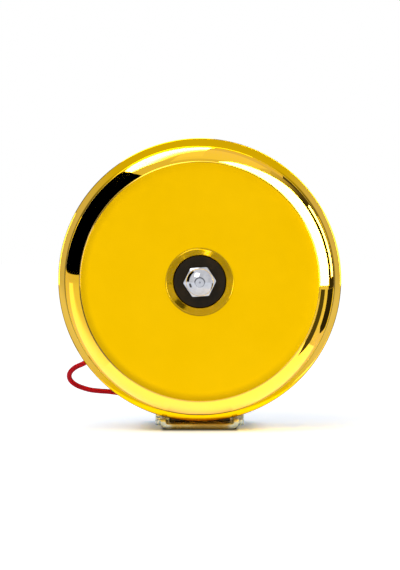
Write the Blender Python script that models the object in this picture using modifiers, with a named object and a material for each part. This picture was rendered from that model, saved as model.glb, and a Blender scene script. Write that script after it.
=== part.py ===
"""Electric alarm bell: a gilt gong on a post, struck from inside by a trembler movement.

Metres, +Z up. The bell faces -Y, stands on its foot at z = 0 and has its wall face on the +Y side.
Places are written as (across, depth, height), with depth running forward from the wall face.
"""
import math

import bmesh
import bpy
from mathutils import Matrix, Vector

MM = 0.001

# Fits
SEAT_GAP = 0.3 * MM
RIM_CLEARANCE = 0.6 * MM

# Gong
GONG_RADIUS = 50.8 * MM
GONG_DEPTH = 30.0 * MM
GONG_SHEET = 1.2 * MM
GONG_STANDOFF = 28.0 * MM
LIP_WIDTH = 3.4 * MM
LIP_FILLET = 1.5 * MM
SHOULDER_WIDTH = 5.4 * MM
SHOULDER_START = math.radians(40.0)
SHOULDER_END = math.radians(80.0)
RECESS_DEPTH = 3.5 * MM
RECESS_SLOPE = 2.4 * MM
RECESS_CLEARANCE = 0.4 * MM
GONG_STEPS = 48

# Gong fixing
STUD_RADIUS = 3.0 * MM
STUD_CHAMFER = 0.6 * MM
STUD_ENGAGEMENT = 8.0 * MM
POST_RADIUS = 4.5 * MM
TENON_RADIUS = 3.0 * MM
WASHER_RADIUS = 9.0 * MM
WASHER_THICK = 1.6 * MM
REAR_WASHER_RADIUS = 8.0 * MM
REAR_WASHER_THICK = 1.5 * MM
NUT_FLATS = 10.0 * MM
NUT_HEX_HEIGHT = 5.0 * MM
NUT_DOME_RADIUS = 4.75 * MM
NUT_NECK = 2.25 * MM
NUT_TURN = math.radians(34.0)

# Base plate and foot
PLATE_THICK = 1.8 * MM
PLATE_SIDE_MARGIN = 2.4 * MM
PLATE_LOW_MARGIN = 0.5 * MM
PLATE_TOP_MARGIN = 10.0 * MM
PLATE_TOP_CORNER = 8.0 * MM
PLATE_LOW_CORNER = 3.0 * MM
TONGUE_WIDTH = 32.5 * MM
TONGUE_CORNER = 4.0 * MM
FOOT_WIDTH = 28.0 * MM
FOOT_LENGTH = 36.0 * MM
FOOT_BEND = 1.2 * MM
FOOT_SIDE_BEND = 0.8 * MM
FOOT_STEP_LENGTH = 15.0 * MM
FOOT_STEP_CORNER = 2.0 * MM
WALL_HOLE_RADIUS = 2.25 * MM
WALL_HOLE_SPREAD = 25.0 * MM
WALL_HOLE_RISE = 28.8 * MM
WALL_HOLE_DROP = 7.2 * MM

# Cable bush
BUSH_ACROSS = 18.0 * MM
BUSH_RISE = 20.0 * MM
BUSH_BORE = 2.5 * MM
BUSH_WALL = 1.5 * MM
BUSH_FLANGE = 2.0 * MM
BUSH_FLANGE_THICK = 1.2 * MM

# Slotted screws
SCREW_RADIUS = 1.5 * MM
SCREW_HEAD_RADIUS = 2.6 * MM
SCREW_HEAD_HEIGHT = 1.5 * MM
SCREW_HEAD_CHAMFER = 0.75 * MM
SLOT_WIDTH = 0.8 * MM
SLOT_DEPTH = 0.7 * MM
SCREW_STEPS = 16

# Terminal block
BLOCK_WIDTH = 22.0 * MM
BLOCK_DEPTH = 10.0 * MM
BLOCK_HEIGHT = 9.0 * MM
BLOCK_SETBACK = 5.0 * MM
TERMINAL_SPREAD = 6.0 * MM
TERMINAL_HEIGHT = 4.4 * MM
TERMINAL_SCREW_LENGTH = 5.5 * MM
LEAD_ENTRY_HEIGHT = 6.2 * MM
LEAD_ENTRY_DEPTH = 2.8 * MM

# Magnet
SHELF_CLEARANCE = 1.0 * MM
BRACKET_THICK = 1.8 * MM
BRACKET_WIDTH = 20.0 * MM
BRACKET_ACROSS = -2.0 * MM
BRACKET_DROP = 9.4 * MM
BRACKET_BEND = 1.0 * MM
BRACKET_SCREW_SPREAD = 5.0 * MM
BRACKET_SCREW_DROP = 5.4 * MM
YOKE_SCREW_SPREAD = 6.5 * MM
YOKE_SCREW_SETBACK = 2.5 * MM
YOKE_THICK = 2.5 * MM
YOKE_WIDTH = 10.0 * MM
YOKE_LEG_RISE = 5.8 * MM
COIL_CLEARANCE = 0.7 * MM
COIL_STANDOFF = 3.2 * MM
FLANGE_RADIUS = 10.0 * MM
FLANGE_THICK = 1.2 * MM
BOBBIN_LENGTH = 31.0 * MM
BOBBIN_WALL = 0.9 * MM
WINDING_INSET = 0.8 * MM
CORE_RADIUS = 3.7 * MM
POLE_STANDOUT = 1.2 * MM
CORE_SCREW_LENGTH = 9.0 * MM
COIL_STEPS = 32

# Armature and hammer
PIVOT_ACROSS = 14.8 * MM
PIN_RADIUS = 1.0 * MM
PIN_HEAD_RADIUS = 1.8 * MM
PIN_HEAD_HEIGHT = 1.0 * MM
PIN_TAIL = 0.5 * MM
KNUCKLE_RADIUS = 2.4 * MM
KNUCKLE_CLEARANCE = 0.6 * MM
KNUCKLE_FLAT = 0.05 * MM
LUG_THICK = 1.8 * MM
LUG_ROOT = 2.0 * MM
ARMATURE_THICK = 3.6 * MM
ARMATURE_WIDTH = 9.0 * MM
ARMATURE_TIP = 2.2 * MM
ARMATURE_NECK = 3.2 * MM
AIR_GAP = 1.2 * MM
ROD_RADIUS = 1.1 * MM
ROD_BEND = 4.0 * MM
ROD_SOCKET = 5.0 * MM
ROD_DROP = 2.8 * MM
HAMMER_RADIUS = 4.0 * MM
HAMMER_SOCKET = 3.0 * MM
HAMMER_GAP = 2.55 * MM
HAMMER_INSIDE = 10.0 * MM
HAMMER_ANGLE = math.radians(216.6)

# Contact set
BLADE_THICK = 0.5 * MM
BLADE_WIDTH = 6.0 * MM
BLADE_RISE = 3.5 * MM
BLADE_DROP = 11.5 * MM
BLADE_SCREW_DROP = 8.5 * MM
BLADE_SCREW_LENGTH = 2.5 * MM
CONTACT_HEIGHT = 15.75 * MM
CONTACT_RADIUS = 1.5 * MM
CONTACT_LENGTH = 1.0 * MM
ADJUSTER_TIP_RADIUS = 1.0 * MM
ADJUSTER_TIP_LENGTH = 1.5 * MM
ADJUSTER_RADIUS = 2.0 * MM
ADJUSTER_REACH = 5.0 * MM
ADJUSTER_HEAD_RADIUS = 4.0 * MM
ADJUSTER_HEAD_LENGTH = 4.0 * MM
ADJUSTER_STEPS = 24
LOCK_NUT_FLATS = 7.0 * MM
LOCK_NUT_THICK = 3.0 * MM
PILLAR_THICK = 6.0 * MM
PILLAR_HALF_HEIGHT = 4.0 * MM
PILLAR_OVERHANG = 4.5 * MM
PILLAR_FOOT_HEIGHT = 8.0 * MM
PILLAR_FOOT_THICK = 2.0 * MM
PILLAR_FILLET = 0.5 * MM
INSULATOR_THICK = 1.8 * MM
INSULATOR_MARGIN = 0.5 * MM

# Return spring
SPRING_RADIUS = 1.7 * MM
SPRING_WIRE = 0.35 * MM
SPRING_PITCH = 1.2 * MM
SPRING_TURNS = 6
SPRING_POINTS_PER_TURN = 10
SPRING_CLEARANCE = 2.8 * MM
SPRING_SETBACK = 3.0 * MM
SPRING_LEAD_IN = 1.4 * MM
SPRING_SHANK = 1.2 * MM
SPRING_TAIL = 1.6 * MM
ANCHOR_RADIUS = 1.8 * MM
ANCHOR_TENON = 1.2 * MM
ANCHOR_TOP = 2.5 * MM

# Earth screw
EARTH_ACROSS = 20.0 * MM
EARTH_RISE = 14.0 * MM

# Red lead: a limp lead from the coil, out past the gong and back to the terminal block
LEAD_RADIUS = 0.9 * MM
LEAD_SPACING = 3.2 * MM
LEAD_ROUTE_MM = [
    (-20.7, 21.5, 34.5), (-24.5, 21.7, 34.2), (-29.0, 22.6, 32.2), (-34.0, 24.0, 28.6),
    (-38.2, 24.9, 25.2), (-41.7, 25.0, 23.0), (-44.7, 24.6, 21.6), (-46.6, 23.4, 19.9),
    (-47.2, 21.8, 18.1), (-46.6, 20.4, 16.4), (-44.9, 19.4, 14.9), (-42.4, 19.0, 13.8),
    (-39.5, 18.8, 13.0), (-36.2, 18.6, 12.6), (-33.3, 18.5, 12.4), (-29.0, 18.3, 11.8),
    (-24.5, 18.1, 10.6), (-20.0, 18.0, 9.1), (-15.5, 18.0, 8.3), (-11.5, 18.0, 8.3), (-8.5, 18.0, 8.3),
]

# Heights and depths worked out from the sizes above
RIM_DEPTH = GONG_STANDOFF
FACE_DEPTH = RIM_DEPTH + GONG_DEPTH
AXIS_HEIGHT = PLATE_THICK + RIM_CLEARANCE + GONG_RADIUS
FOOT_INNER_HALF = FOOT_WIDTH / 2 - PLATE_THICK
FOOT_SIDE_TOP = AXIS_HEIGHT - math.sqrt(GONG_RADIUS ** 2 - FOOT_INNER_HALF ** 2) - RIM_CLEARANCE
WALL_RADIUS = GONG_RADIUS - LIP_WIDTH
FACE_RADIUS = WALL_RADIUS - SHOULDER_WIDTH
SHOULDER_RADIUS = SHOULDER_WIDTH / (math.sin(SHOULDER_END) - math.sin(SHOULDER_START))
LIP_ROLL = LIP_WIDTH - LIP_FILLET
LIP_TOP = GONG_SHEET + LIP_ROLL + LIP_FILLET
RECESS_FLOOR_RADIUS = WASHER_RADIUS + RECESS_CLEARANCE
STUD_BORE = STUD_RADIUS + SEAT_GAP
RECESS_FLOOR_DEPTH = FACE_DEPTH - RECESS_DEPTH
WASHER_DEPTH = RECESS_FLOOR_DEPTH + SEAT_GAP
NUT_DEPTH = WASHER_DEPTH + WASHER_THICK + SEAT_GAP
NUT_HEIGHT = NUT_HEX_HEIGHT + NUT_NECK + NUT_DOME_RADIUS
REAR_WASHER_DEPTH = RECESS_FLOOR_DEPTH - GONG_SHEET - SEAT_GAP - REAR_WASHER_THICK
POST_TOP_DEPTH = REAR_WASHER_DEPTH - SEAT_GAP
TOTAL_DEPTH = NUT_DEPTH + NUT_HEIGHT
WALL_Y = TOTAL_DEPTH / 2

PLATE_FRONT = PLATE_THICK + SEAT_GAP
PLATE_TOP = AXIS_HEIGHT + WALL_HOLE_RISE + PLATE_TOP_MARGIN
SCREW_BORE = SCREW_RADIUS + SEAT_GAP
BLOCK_BASE = PLATE_THICK + SEAT_GAP
BLOCK_TOP = BLOCK_BASE + BLOCK_HEIGHT
BLOCK_FRONT = RIM_DEPTH - BLOCK_SETBACK
BLOCK_MIDDLE = BLOCK_FRONT - BLOCK_DEPTH / 2
BLOCK_SCREW_SEAT = BLOCK_TOP + SEAT_GAP

COIL_DEPTH = PLATE_THICK + COIL_STANDOFF + FLANGE_RADIUS
YOKE_BACK = COIL_DEPTH - YOKE_WIDTH / 2
YOKE_FRONT = COIL_DEPTH + YOKE_WIDTH / 2
SHELF_BOTTOM = BLOCK_SCREW_SEAT + SCREW_HEAD_HEIGHT + SHELF_CLEARANCE
SHELF_TOP = SHELF_BOTTOM + BRACKET_THICK
YOKE_BOTTOM = SHELF_TOP + SEAT_GAP
YOKE_TOP = YOKE_BOTTOM + YOKE_THICK
COIL_HEIGHT = YOKE_TOP + COIL_CLEARANCE + FLANGE_RADIUS
BRACKET_SCREW_HEIGHT = SHELF_BOTTOM - BRACKET_SCREW_DROP
YOKE_SCREW_DEPTH = COIL_DEPTH - YOKE_SCREW_SETBACK

PIVOT_HEIGHT = YOKE_BOTTOM + YOKE_THICK / 2
PIN_BORE = PIN_RADIUS + SEAT_GAP
KNUCKLE_CORNER = KNUCKLE_RADIUS - KNUCKLE_FLAT
ARMATURE_LEFT = PIVOT_ACROSS - ARMATURE_THICK / 2
ARMATURE_RIGHT = PIVOT_ACROSS + ARMATURE_THICK / 2
ARMATURE_BACK = COIL_DEPTH - ARMATURE_WIDTH / 2
ARMATURE_FRONT = COIL_DEPTH + ARMATURE_WIDTH / 2
CORE_FACE = ARMATURE_LEFT - AIR_GAP
BOBBIN_RIGHT = CORE_FACE - POLE_STANDOUT
BOBBIN_LEFT = BOBBIN_RIGHT - BOBBIN_LENGTH
YOKE_LEG_RIGHT = BOBBIN_LEFT - SEAT_GAP
YOKE_LEG_LEFT = YOKE_LEG_RIGHT - YOKE_THICK
YOKE_RIGHT = PIVOT_ACROSS - KNUCKLE_RADIUS - KNUCKLE_CLEARANCE
CORE_BORE = CORE_RADIUS + SEAT_GAP
BARREL_RADIUS = CORE_BORE + BOBBIN_WALL

CONTACT_Z = PIVOT_HEIGHT + CONTACT_HEIGHT
BLADE_LEFT = ARMATURE_RIGHT + SEAT_GAP
BLADE_RIGHT = BLADE_LEFT + BLADE_THICK
CONTACT_LEFT = BLADE_RIGHT + SEAT_GAP
ADJUSTER_TIP = CONTACT_LEFT + CONTACT_LENGTH + SEAT_GAP
PILLAR_LEFT = ADJUSTER_TIP + ADJUSTER_REACH
PILLAR_RIGHT = PILLAR_LEFT + PILLAR_THICK
PILLAR_MIDDLE = (PILLAR_LEFT + PILLAR_RIGHT) / 2
PILLAR_TOP = CONTACT_Z + PILLAR_HALF_HEIGHT
PILLAR_UNDERSIDE = CONTACT_Z - PILLAR_HALF_HEIGHT
PILLAR_BOTTOM = PILLAR_UNDERSIDE - PILLAR_FOOT_HEIGHT
PILLAR_BACK = PLATE_FRONT + INSULATOR_THICK + SEAT_GAP
PILLAR_FRONT = COIL_DEPTH + PILLAR_OVERHANG
PILLAR_SCREW_HEIGHT = PILLAR_BOTTOM + PILLAR_FOOT_HEIGHT / 2
LOCK_NUT_LEFT = PILLAR_RIGHT + SEAT_GAP
ADJUSTER_HEAD_LEFT = LOCK_NUT_LEFT + LOCK_NUT_THICK + SEAT_GAP
ADJUSTER_END = ADJUSTER_HEAD_LEFT + ADJUSTER_HEAD_LENGTH
ADJUSTER_BORE = ADJUSTER_RADIUS + SEAT_GAP

SPRING_HEIGHT = PILLAR_TOP + SPRING_CLEARANCE
SPRING_DEPTH = COIL_DEPTH - SPRING_SETBACK
SPRING_BORE = SPRING_WIRE + SEAT_GAP
SPRING_START = ARMATURE_RIGHT + SPRING_SHANK
SPRING_END = SPRING_START + 2 * SPRING_LEAD_IN + SPRING_TURNS * SPRING_PITCH
ANCHOR_ACROSS = SPRING_END + SPRING_SHANK + ANCHOR_RADIUS
ANCHOR_BORE = ANCHOR_TENON + SEAT_GAP
PLATE_WIDTH = 2 * (ANCHOR_ACROSS + ANCHOR_RADIUS + PLATE_SIDE_MARGIN)
PLATE_BOTTOM = PILLAR_BOTTOM - INSULATOR_MARGIN - PLATE_LOW_MARGIN
ARMATURE_TOP = SPRING_HEIGHT + ARMATURE_TIP
ROD_HEIGHT = SPRING_HEIGHT - ROD_DROP
ROD_START = ARMATURE_FRONT - ROD_SOCKET + SEAT_GAP
HAMMER_DEPTH = RIM_DEPTH + HAMMER_INSIDE
HAMMER_REACH = WALL_RADIUS - GONG_SHEET - HAMMER_GAP - HAMMER_RADIUS
HAMMER_ACROSS = HAMMER_REACH * math.cos(HAMMER_ANGLE)
HAMMER_HEIGHT = AXIS_HEIGHT + HAMMER_REACH * math.sin(HAMMER_ANGLE)

# Rotations of a drawn outline: facing the front, the side or the floor
FACING_FRONT = (math.pi / 2, 0.0, 0.0)
FACING_DOWN = (math.pi, 0.0, 0.0)
FACING_SIDE = (math.pi / 2, 0.0, -math.pi / 2)
TO_FRONT = Vector((0.0, -1.0, 0.0))
TO_RIGHT = Vector((1.0, 0.0, 0.0))
TO_TOP = Vector((0.0, 0.0, 1.0))
SMOOTH_ANGLE = math.radians(35.0)
MERGE_DISTANCE = 0.01 * MM
CUT_OVERRUN = 1.0 * MM
ARC_STEPS = 5
WIRE_ROUNDNESS = 2
SPRING_ROUNDNESS = 1


def at(across, depth, height):
    """World place of a point given across, forward of the wall face, and up."""
    return Vector((across, WALL_Y - depth, height))


def clear_scene():
    for obj in list(bpy.data.objects):
        bpy.data.objects.remove(obj, do_unlink=True)


def new_collection(name):
    collection = bpy.data.collections.new(name)
    bpy.context.scene.collection.children.link(collection)
    return collection


clear_scene()
PARTS = new_collection("fire_alarm_bell")
CUTTERS = new_collection("cutters")


def new_material(name, colour, roughness, metallic):
    material = bpy.data.materials.new(name)
    material.use_nodes = True
    shader = material.node_tree.nodes["Principled BSDF"]
    shader.inputs["Base Color"].default_value = (*colour, 1.0)
    shader.inputs["Roughness"].default_value = roughness
    shader.inputs["Metallic"].default_value = metallic
    return material


GILT = new_material("polished_gilt", (0.87, 0.51, 0.02), 0.12, 1.0)
ZINC = new_material("bright_zinc", (0.78, 0.79, 0.80), 0.22, 1.0)
YELLOW_ZINC = new_material("yellow_passivated_zinc", (0.55, 0.43, 0.16), 0.35, 1.0)
IRON = new_material("soft_iron", (0.36, 0.36, 0.37), 0.45, 1.0)
BRASS = new_material("plain_brass", (0.72, 0.50, 0.19), 0.30, 1.0)
SPRING_STEEL = new_material("spring_steel", (0.50, 0.50, 0.52), 0.28, 1.0)
BLACK_STEEL = new_material("blackened_steel", (0.02, 0.018, 0.015), 0.45, 0.6)
BAKELITE = new_material("black_moulding", (0.03, 0.025, 0.022), 0.35, 0.0)
FIBRE = new_material("red_brown_fibre", (0.25, 0.09, 0.05), 0.70, 0.0)
TAPE = new_material("coil_tape", (0.52, 0.40, 0.18), 0.60, 0.0)
RUBBER = new_material("black_rubber", (0.02, 0.02, 0.02), 0.80, 0.0)
RED_PVC = new_material("red_pvc", (0.58, 0.01, 0.03), 0.40, 0.0)


def add_object(name, data):
    obj = bpy.data.objects.new(name, data)
    PARTS.objects.link(obj)
    return obj


def mesh_object(name, bm):
    mesh = bpy.data.meshes.new(name)
    bm.to_mesh(mesh)
    bm.free()
    return add_object(name, mesh)


def box(name, low, high):
    """Box between two corners, each given across, forward and up."""
    near = at(*low)
    far = at(*high)
    bm = bmesh.new()
    bmesh.ops.create_cube(bm, size=1.0)
    size = [abs(b - a) for a, b in zip(near, far)]
    bmesh.ops.scale(bm, vec=size, verts=bm.verts)
    obj = mesh_object(name, bm)
    obj.location = (near + far) / 2
    return obj


def round_bar(name, radius, start, end, segments=SCREW_STEPS, turn=0.0):
    """Straight bar between two world places; six segments make a hexagon."""
    along = end - start
    bm = bmesh.new()
    bmesh.ops.create_cone(bm, cap_ends=True, segments=segments, radius1=radius, radius2=radius,
                          depth=along.length, matrix=Matrix.Rotation(turn, 4, "Z"))
    obj = mesh_object(name, bm)
    obj.location = (start + end) / 2
    obj.rotation_euler = along.to_track_quat("Z", "Y").to_euler()
    return obj


def turned(name, profile, origin, direction, steps=SCREW_STEPS):
    """Profile of (radius, height) pairs, outer side from top to bottom, turned about direction."""
    mesh = bpy.data.meshes.new(name)
    edges = [(i, i + 1) for i in range(len(profile) - 1)]
    mesh.from_pydata([(radius, 0.0, height) for radius, height in profile], edges, [])
    obj = add_object(name, mesh)
    obj.location = origin
    obj.rotation_euler = direction.to_track_quat("Z", "Y").to_euler()
    screw = obj.modifiers.new("Turn", "SCREW")
    screw.axis = "Z"
    screw.steps = steps
    screw.render_steps = steps
    screw.use_merge_vertices = True
    screw.merge_threshold = MERGE_DISTANCE
    return obj


def ring(name, outer, inner, thick, origin, direction, steps=COIL_STEPS):
    """Flat ring whose back face lies at origin."""
    profile = [(inner, thick), (outer, thick), (outer, 0.0), (inner, 0.0), (inner, thick)]
    return turned(name, profile, origin, direction, steps)


def rounded(corners):
    """Outline points from (x, y, corner radius) triples, each round corner as an arc."""
    points = []
    for i, (x, y, radius) in enumerate(corners):
        corner = Vector((x, y))
        if radius == 0.0:
            points.append(corner)
            continue
        before = (Vector(corners[i - 1][:2]) - corner).normalized()
        after = (Vector(corners[(i + 1) % len(corners)][:2]) - corner).normalized()
        half = before.angle(after) / 2
        centre = corner + (before + after).normalized() * radius / math.sin(half)
        first = corner + before * radius / math.tan(half) - centre
        last = corner + after * radius / math.tan(half) - centre
        sweep = first.angle_signed(last)
        for step in range(ARC_STEPS + 1):
            turn = Matrix.Rotation(-sweep * step / ARC_STEPS, 2)
            points.append(centre + turn @ first)
    return points


def sheet(name, outline, thick, origin, rotation):
    """Flat outline given a thickness, centred on origin, as a welded mesh."""
    curve = bpy.data.curves.new(name, "CURVE")
    curve.dimensions = "2D"
    curve.fill_mode = "BOTH"
    curve.extrude = thick / 2
    spline = curve.splines.new("POLY")
    spline.points.add(len(outline) - 1)
    for point, place in zip(spline.points, outline):
        point.co = (place[0], place[1], 0.0, 1.0)
    spline.use_cyclic_u = True
    drawn = add_object(name + "_outline", curve)
    drawn.location = origin
    drawn.rotation_euler = rotation
    bpy.context.view_layer.update()
    evaluated = drawn.evaluated_get(bpy.context.evaluated_depsgraph_get())
    mesh = bpy.data.meshes.new_from_object(evaluated)
    matrix = drawn.matrix_world.copy()
    bpy.data.objects.remove(drawn, do_unlink=True)
    mesh.name = name
    bm = bmesh.new()
    bm.from_mesh(mesh)
    bmesh.ops.remove_doubles(bm, verts=bm.verts, dist=MERGE_DISTANCE)
    bmesh.ops.recalc_face_normals(bm, faces=bm.faces)
    bm.to_mesh(mesh)
    bm.free()
    obj = add_object(name, mesh)
    obj.matrix_world = matrix
    return obj


def wire(name, places, radius, roundness, origin):
    """Round wire through world places, with its object origin at origin."""
    curve = bpy.data.curves.new(name, "CURVE")
    curve.dimensions = "3D"
    curve.bevel_depth = radius
    curve.bevel_resolution = roundness
    curve.use_fill_caps = True
    spline = curve.splines.new("POLY")
    spline.points.add(len(places) - 1)
    for point, place in zip(spline.points, places):
        point.co = (*(place - origin), 1.0)
    obj = add_object(name, curve)
    obj.location = origin
    return obj


def combine(obj, tool, operation):
    """Cut a tool out of an object, or join it on, and put the tool aside."""
    modifier = obj.modifiers.new(tool.name, "BOOLEAN")
    modifier.operation = operation
    modifier.object = tool
    PARTS.objects.unlink(tool)
    CUTTERS.objects.link(tool)
    tool.hide_render = True
    tool.display_type = "WIRE"


def cut(obj, tool):
    combine(obj, tool, "DIFFERENCE")


def join(obj, tool):
    combine(obj, tool, "UNION")


def keep(obj, tool):
    combine(obj, tool, "INTERSECT")


def drill(obj, radius, start, end):
    """Round hole between two world places."""
    cut(obj, round_bar(obj.name + "_drill", radius, start, end))


def finish(obj, material, pivot=None):
    """Give a piece its material and smooth shading, and hang it on a pivot if it moves."""
    obj.data.materials.append(material)
    if obj.type == "MESH":
        obj.data.shade_smooth()
        obj.data.set_sharp_from_angle(angle=SMOOTH_ANGLE)
    if pivot is not None:
        obj.parent = pivot
        obj.matrix_parent_inverse = Matrix.Translation(-pivot.location)
    return obj


def slotted_screw(name, seat, direction, length, material, pivot=None):
    """Pan-head screw whose head stands on seat and points along direction."""
    profile = [
        (0.0, SCREW_HEAD_HEIGHT),
        (SCREW_HEAD_RADIUS - SCREW_HEAD_CHAMFER, SCREW_HEAD_HEIGHT),
        (SCREW_HEAD_RADIUS, SCREW_HEAD_HEIGHT - SCREW_HEAD_CHAMFER),
        (SCREW_HEAD_RADIUS, 0.0),
        (SCREW_RADIUS, 0.0),
        (SCREW_RADIUS, -length),
        (0.0, -length),
    ]
    screw = turned(name, profile, seat, direction)
    bm = bmesh.new()
    bmesh.ops.create_cube(bm, size=1.0)
    slot_size = (3 * SCREW_HEAD_RADIUS, SLOT_WIDTH, 2 * SLOT_DEPTH)
    bmesh.ops.scale(bm, vec=slot_size, verts=bm.verts)
    slot = mesh_object(name + "_slot", bm)
    slot.location = seat + direction * SCREW_HEAD_HEIGHT
    slot.rotation_euler = screw.rotation_euler
    cut(screw, slot)
    return finish(screw, material, pivot)


def gong_profile():
    """Outer line of the gong from its hole, over the face and shoulder, to the lip."""
    recess_steps = 6
    shoulder_steps = 7
    lip_steps = 5
    floor = GONG_DEPTH - RECESS_DEPTH
    points = [(STUD_BORE, floor)]
    for step in range(recess_steps + 1):
        s = step / recess_steps
        rise = RECESS_DEPTH * (1 - math.cos(math.pi * s)) / 2
        points.append((RECESS_FLOOR_RADIUS + RECESS_SLOPE * s, floor + rise))
    for step in range(shoulder_steps + 1):
        angle = SHOULDER_START + (SHOULDER_END - SHOULDER_START) * step / shoulder_steps
        reach = SHOULDER_RADIUS * (math.sin(angle) - math.sin(SHOULDER_START))
        drop = SHOULDER_RADIUS * (math.cos(SHOULDER_START) - math.cos(angle))
        points.append((FACE_RADIUS + reach, GONG_DEPTH - drop))
    fillet_middle = WALL_RADIUS + LIP_FILLET
    for step in range(lip_steps + 1):
        angle = math.pi / 2 * step / lip_steps
        points.append((fillet_middle - LIP_FILLET * math.cos(angle), LIP_TOP - LIP_FILLET * math.sin(angle)))
    for step in range(1, lip_steps + 1):
        angle = math.pi / 2 * step / lip_steps
        points.append((fillet_middle + LIP_ROLL * math.sin(angle), GONG_SHEET + LIP_ROLL * math.cos(angle)))
    points.append((GONG_RADIUS, 0.0))
    return points


def build_gong():
    gong = turned("gong", gong_profile(), at(0.0, RIM_DEPTH, AXIS_HEIGHT), TO_FRONT, GONG_STEPS)
    wall = gong.modifiers.new("Sheet", "SOLIDIFY")
    wall.thickness = GONG_SHEET
    wall.offset = -1.0
    wall.use_even_offset = True
    finish(gong, GILT)


def build_gong_post():
    profile = [
        (0.0, NUT_DEPTH + STUD_ENGAGEMENT),
        (STUD_RADIUS - STUD_CHAMFER, NUT_DEPTH + STUD_ENGAGEMENT),
        (STUD_RADIUS, NUT_DEPTH + STUD_ENGAGEMENT - STUD_CHAMFER),
        (STUD_RADIUS, POST_TOP_DEPTH),
        (POST_RADIUS, POST_TOP_DEPTH),
        (POST_RADIUS, PLATE_FRONT),
        (TENON_RADIUS, PLATE_FRONT),
        (TENON_RADIUS, SEAT_GAP),
        (0.0, SEAT_GAP),
    ]
    finish(turned("gong_post", profile, at(0.0, 0.0, AXIS_HEIGHT), TO_FRONT), ZINC)


def build_gong_washers():
    front = at(0.0, WASHER_DEPTH, AXIS_HEIGHT)
    washer = ring("gong_washer", WASHER_RADIUS, STUD_BORE, WASHER_THICK, front, TO_FRONT)
    finish(washer, BLACK_STEEL)
    rear = at(0.0, REAR_WASHER_DEPTH, AXIS_HEIGHT)
    rear_washer = ring("gong_rear_washer", REAR_WASHER_RADIUS, STUD_BORE, REAR_WASHER_THICK, rear, TO_FRONT)
    finish(rear_washer, RUBBER)


def build_cap_nut():
    dome_steps = 6
    seat = at(0.0, NUT_DEPTH, AXIS_HEIGHT)
    hex_top = at(0.0, NUT_DEPTH + NUT_HEX_HEIGHT, AXIS_HEIGHT)
    nut = round_bar("cap_nut", NUT_FLATS / math.sqrt(3), seat, hex_top, 6, NUT_TURN)
    shoulder = NUT_HEX_HEIGHT + NUT_NECK
    profile = []
    for step in range(dome_steps + 1):
        angle = math.pi / 2 * (1 - step / dome_steps)
        profile.append((NUT_DOME_RADIUS * math.cos(angle), shoulder + NUT_DOME_RADIUS * math.sin(angle)))
    profile[0] = (0.0, profile[0][1])
    profile += [(NUT_DOME_RADIUS, NUT_HEX_HEIGHT / 2), (0.0, NUT_HEX_HEIGHT / 2)]
    join(nut, turned("cap_nut_dome", profile, seat, TO_FRONT, COIL_STEPS))
    bore_end = at(0.0, NUT_DEPTH + STUD_ENGAGEMENT + SEAT_GAP, AXIS_HEIGHT)
    drill(nut, STUD_BORE, seat - TO_FRONT * CUT_OVERRUN, bore_end)
    finish(nut, ZINC)


def bend_outline():
    """Side view of the sheet: the upright plate, the bend and the foot."""
    top = PLATE_TOP + CUT_OVERRUN
    return rounded([
        (0.0, 0.0, FOOT_BEND + PLATE_THICK),
        (FOOT_LENGTH + CUT_OVERRUN, 0.0, 0.0),
        (FOOT_LENGTH + CUT_OVERRUN, PLATE_THICK, 0.0),
        (PLATE_THICK, PLATE_THICK, FOOT_BEND),
        (PLATE_THICK, top, 0.0),
        (0.0, top, 0.0),
    ])


def plate_outline():
    """Front view of the plate, run on past the floor."""
    half = PLATE_WIDTH / 2
    tongue = TONGUE_WIDTH / 2
    return rounded([
        (-tongue, -CUT_OVERRUN, 0.0),
        (tongue, -CUT_OVERRUN, 0.0),
        (tongue, PLATE_BOTTOM, TONGUE_CORNER),
        (half, PLATE_BOTTOM, PLATE_LOW_CORNER),
        (half, PLATE_TOP, PLATE_TOP_CORNER),
        (-half, PLATE_TOP, PLATE_TOP_CORNER),
        (-half, PLATE_BOTTOM, PLATE_LOW_CORNER),
        (-tongue, PLATE_BOTTOM, TONGUE_CORNER),
    ])


def foot_outline():
    """Plan view of the wide root of the foot, run on past the wall face and the width of the plate."""
    wide = PLATE_WIDTH / 2 + CUT_OVERRUN
    step = TONGUE_WIDTH / 2
    shelf = PLATE_THICK + FOOT_BEND + CUT_OVERRUN
    right_side = [
        (wide, -CUT_OVERRUN, 0.0),
        (wide, shelf, 0.0),
        (step, shelf, 0.0),
        (step, FOOT_STEP_LENGTH, FOOT_STEP_CORNER),
    ]
    left_side = [(-across, depth, radius) for across, depth, radius in reversed(right_side)]
    return rounded(right_side + left_side)


def channel_outline():
    """Front view of the foot's front part, its two sides turned up under the gong."""
    half = FOOT_WIDTH / 2
    inner = FOOT_INNER_HALF
    outer_bend = FOOT_SIDE_BEND + PLATE_THICK
    return rounded([
        (-half, 0.0, outer_bend),
        (half, 0.0, outer_bend),
        (half, FOOT_SIDE_TOP, 0.0),
        (inner, FOOT_SIDE_TOP, 0.0),
        (inner, PLATE_THICK, FOOT_SIDE_BEND),
        (-inner, PLATE_THICK, FOOT_SIDE_BEND),
        (-inner, FOOT_SIDE_TOP, 0.0),
        (-half, FOOT_SIDE_TOP, 0.0),
    ])


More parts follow.
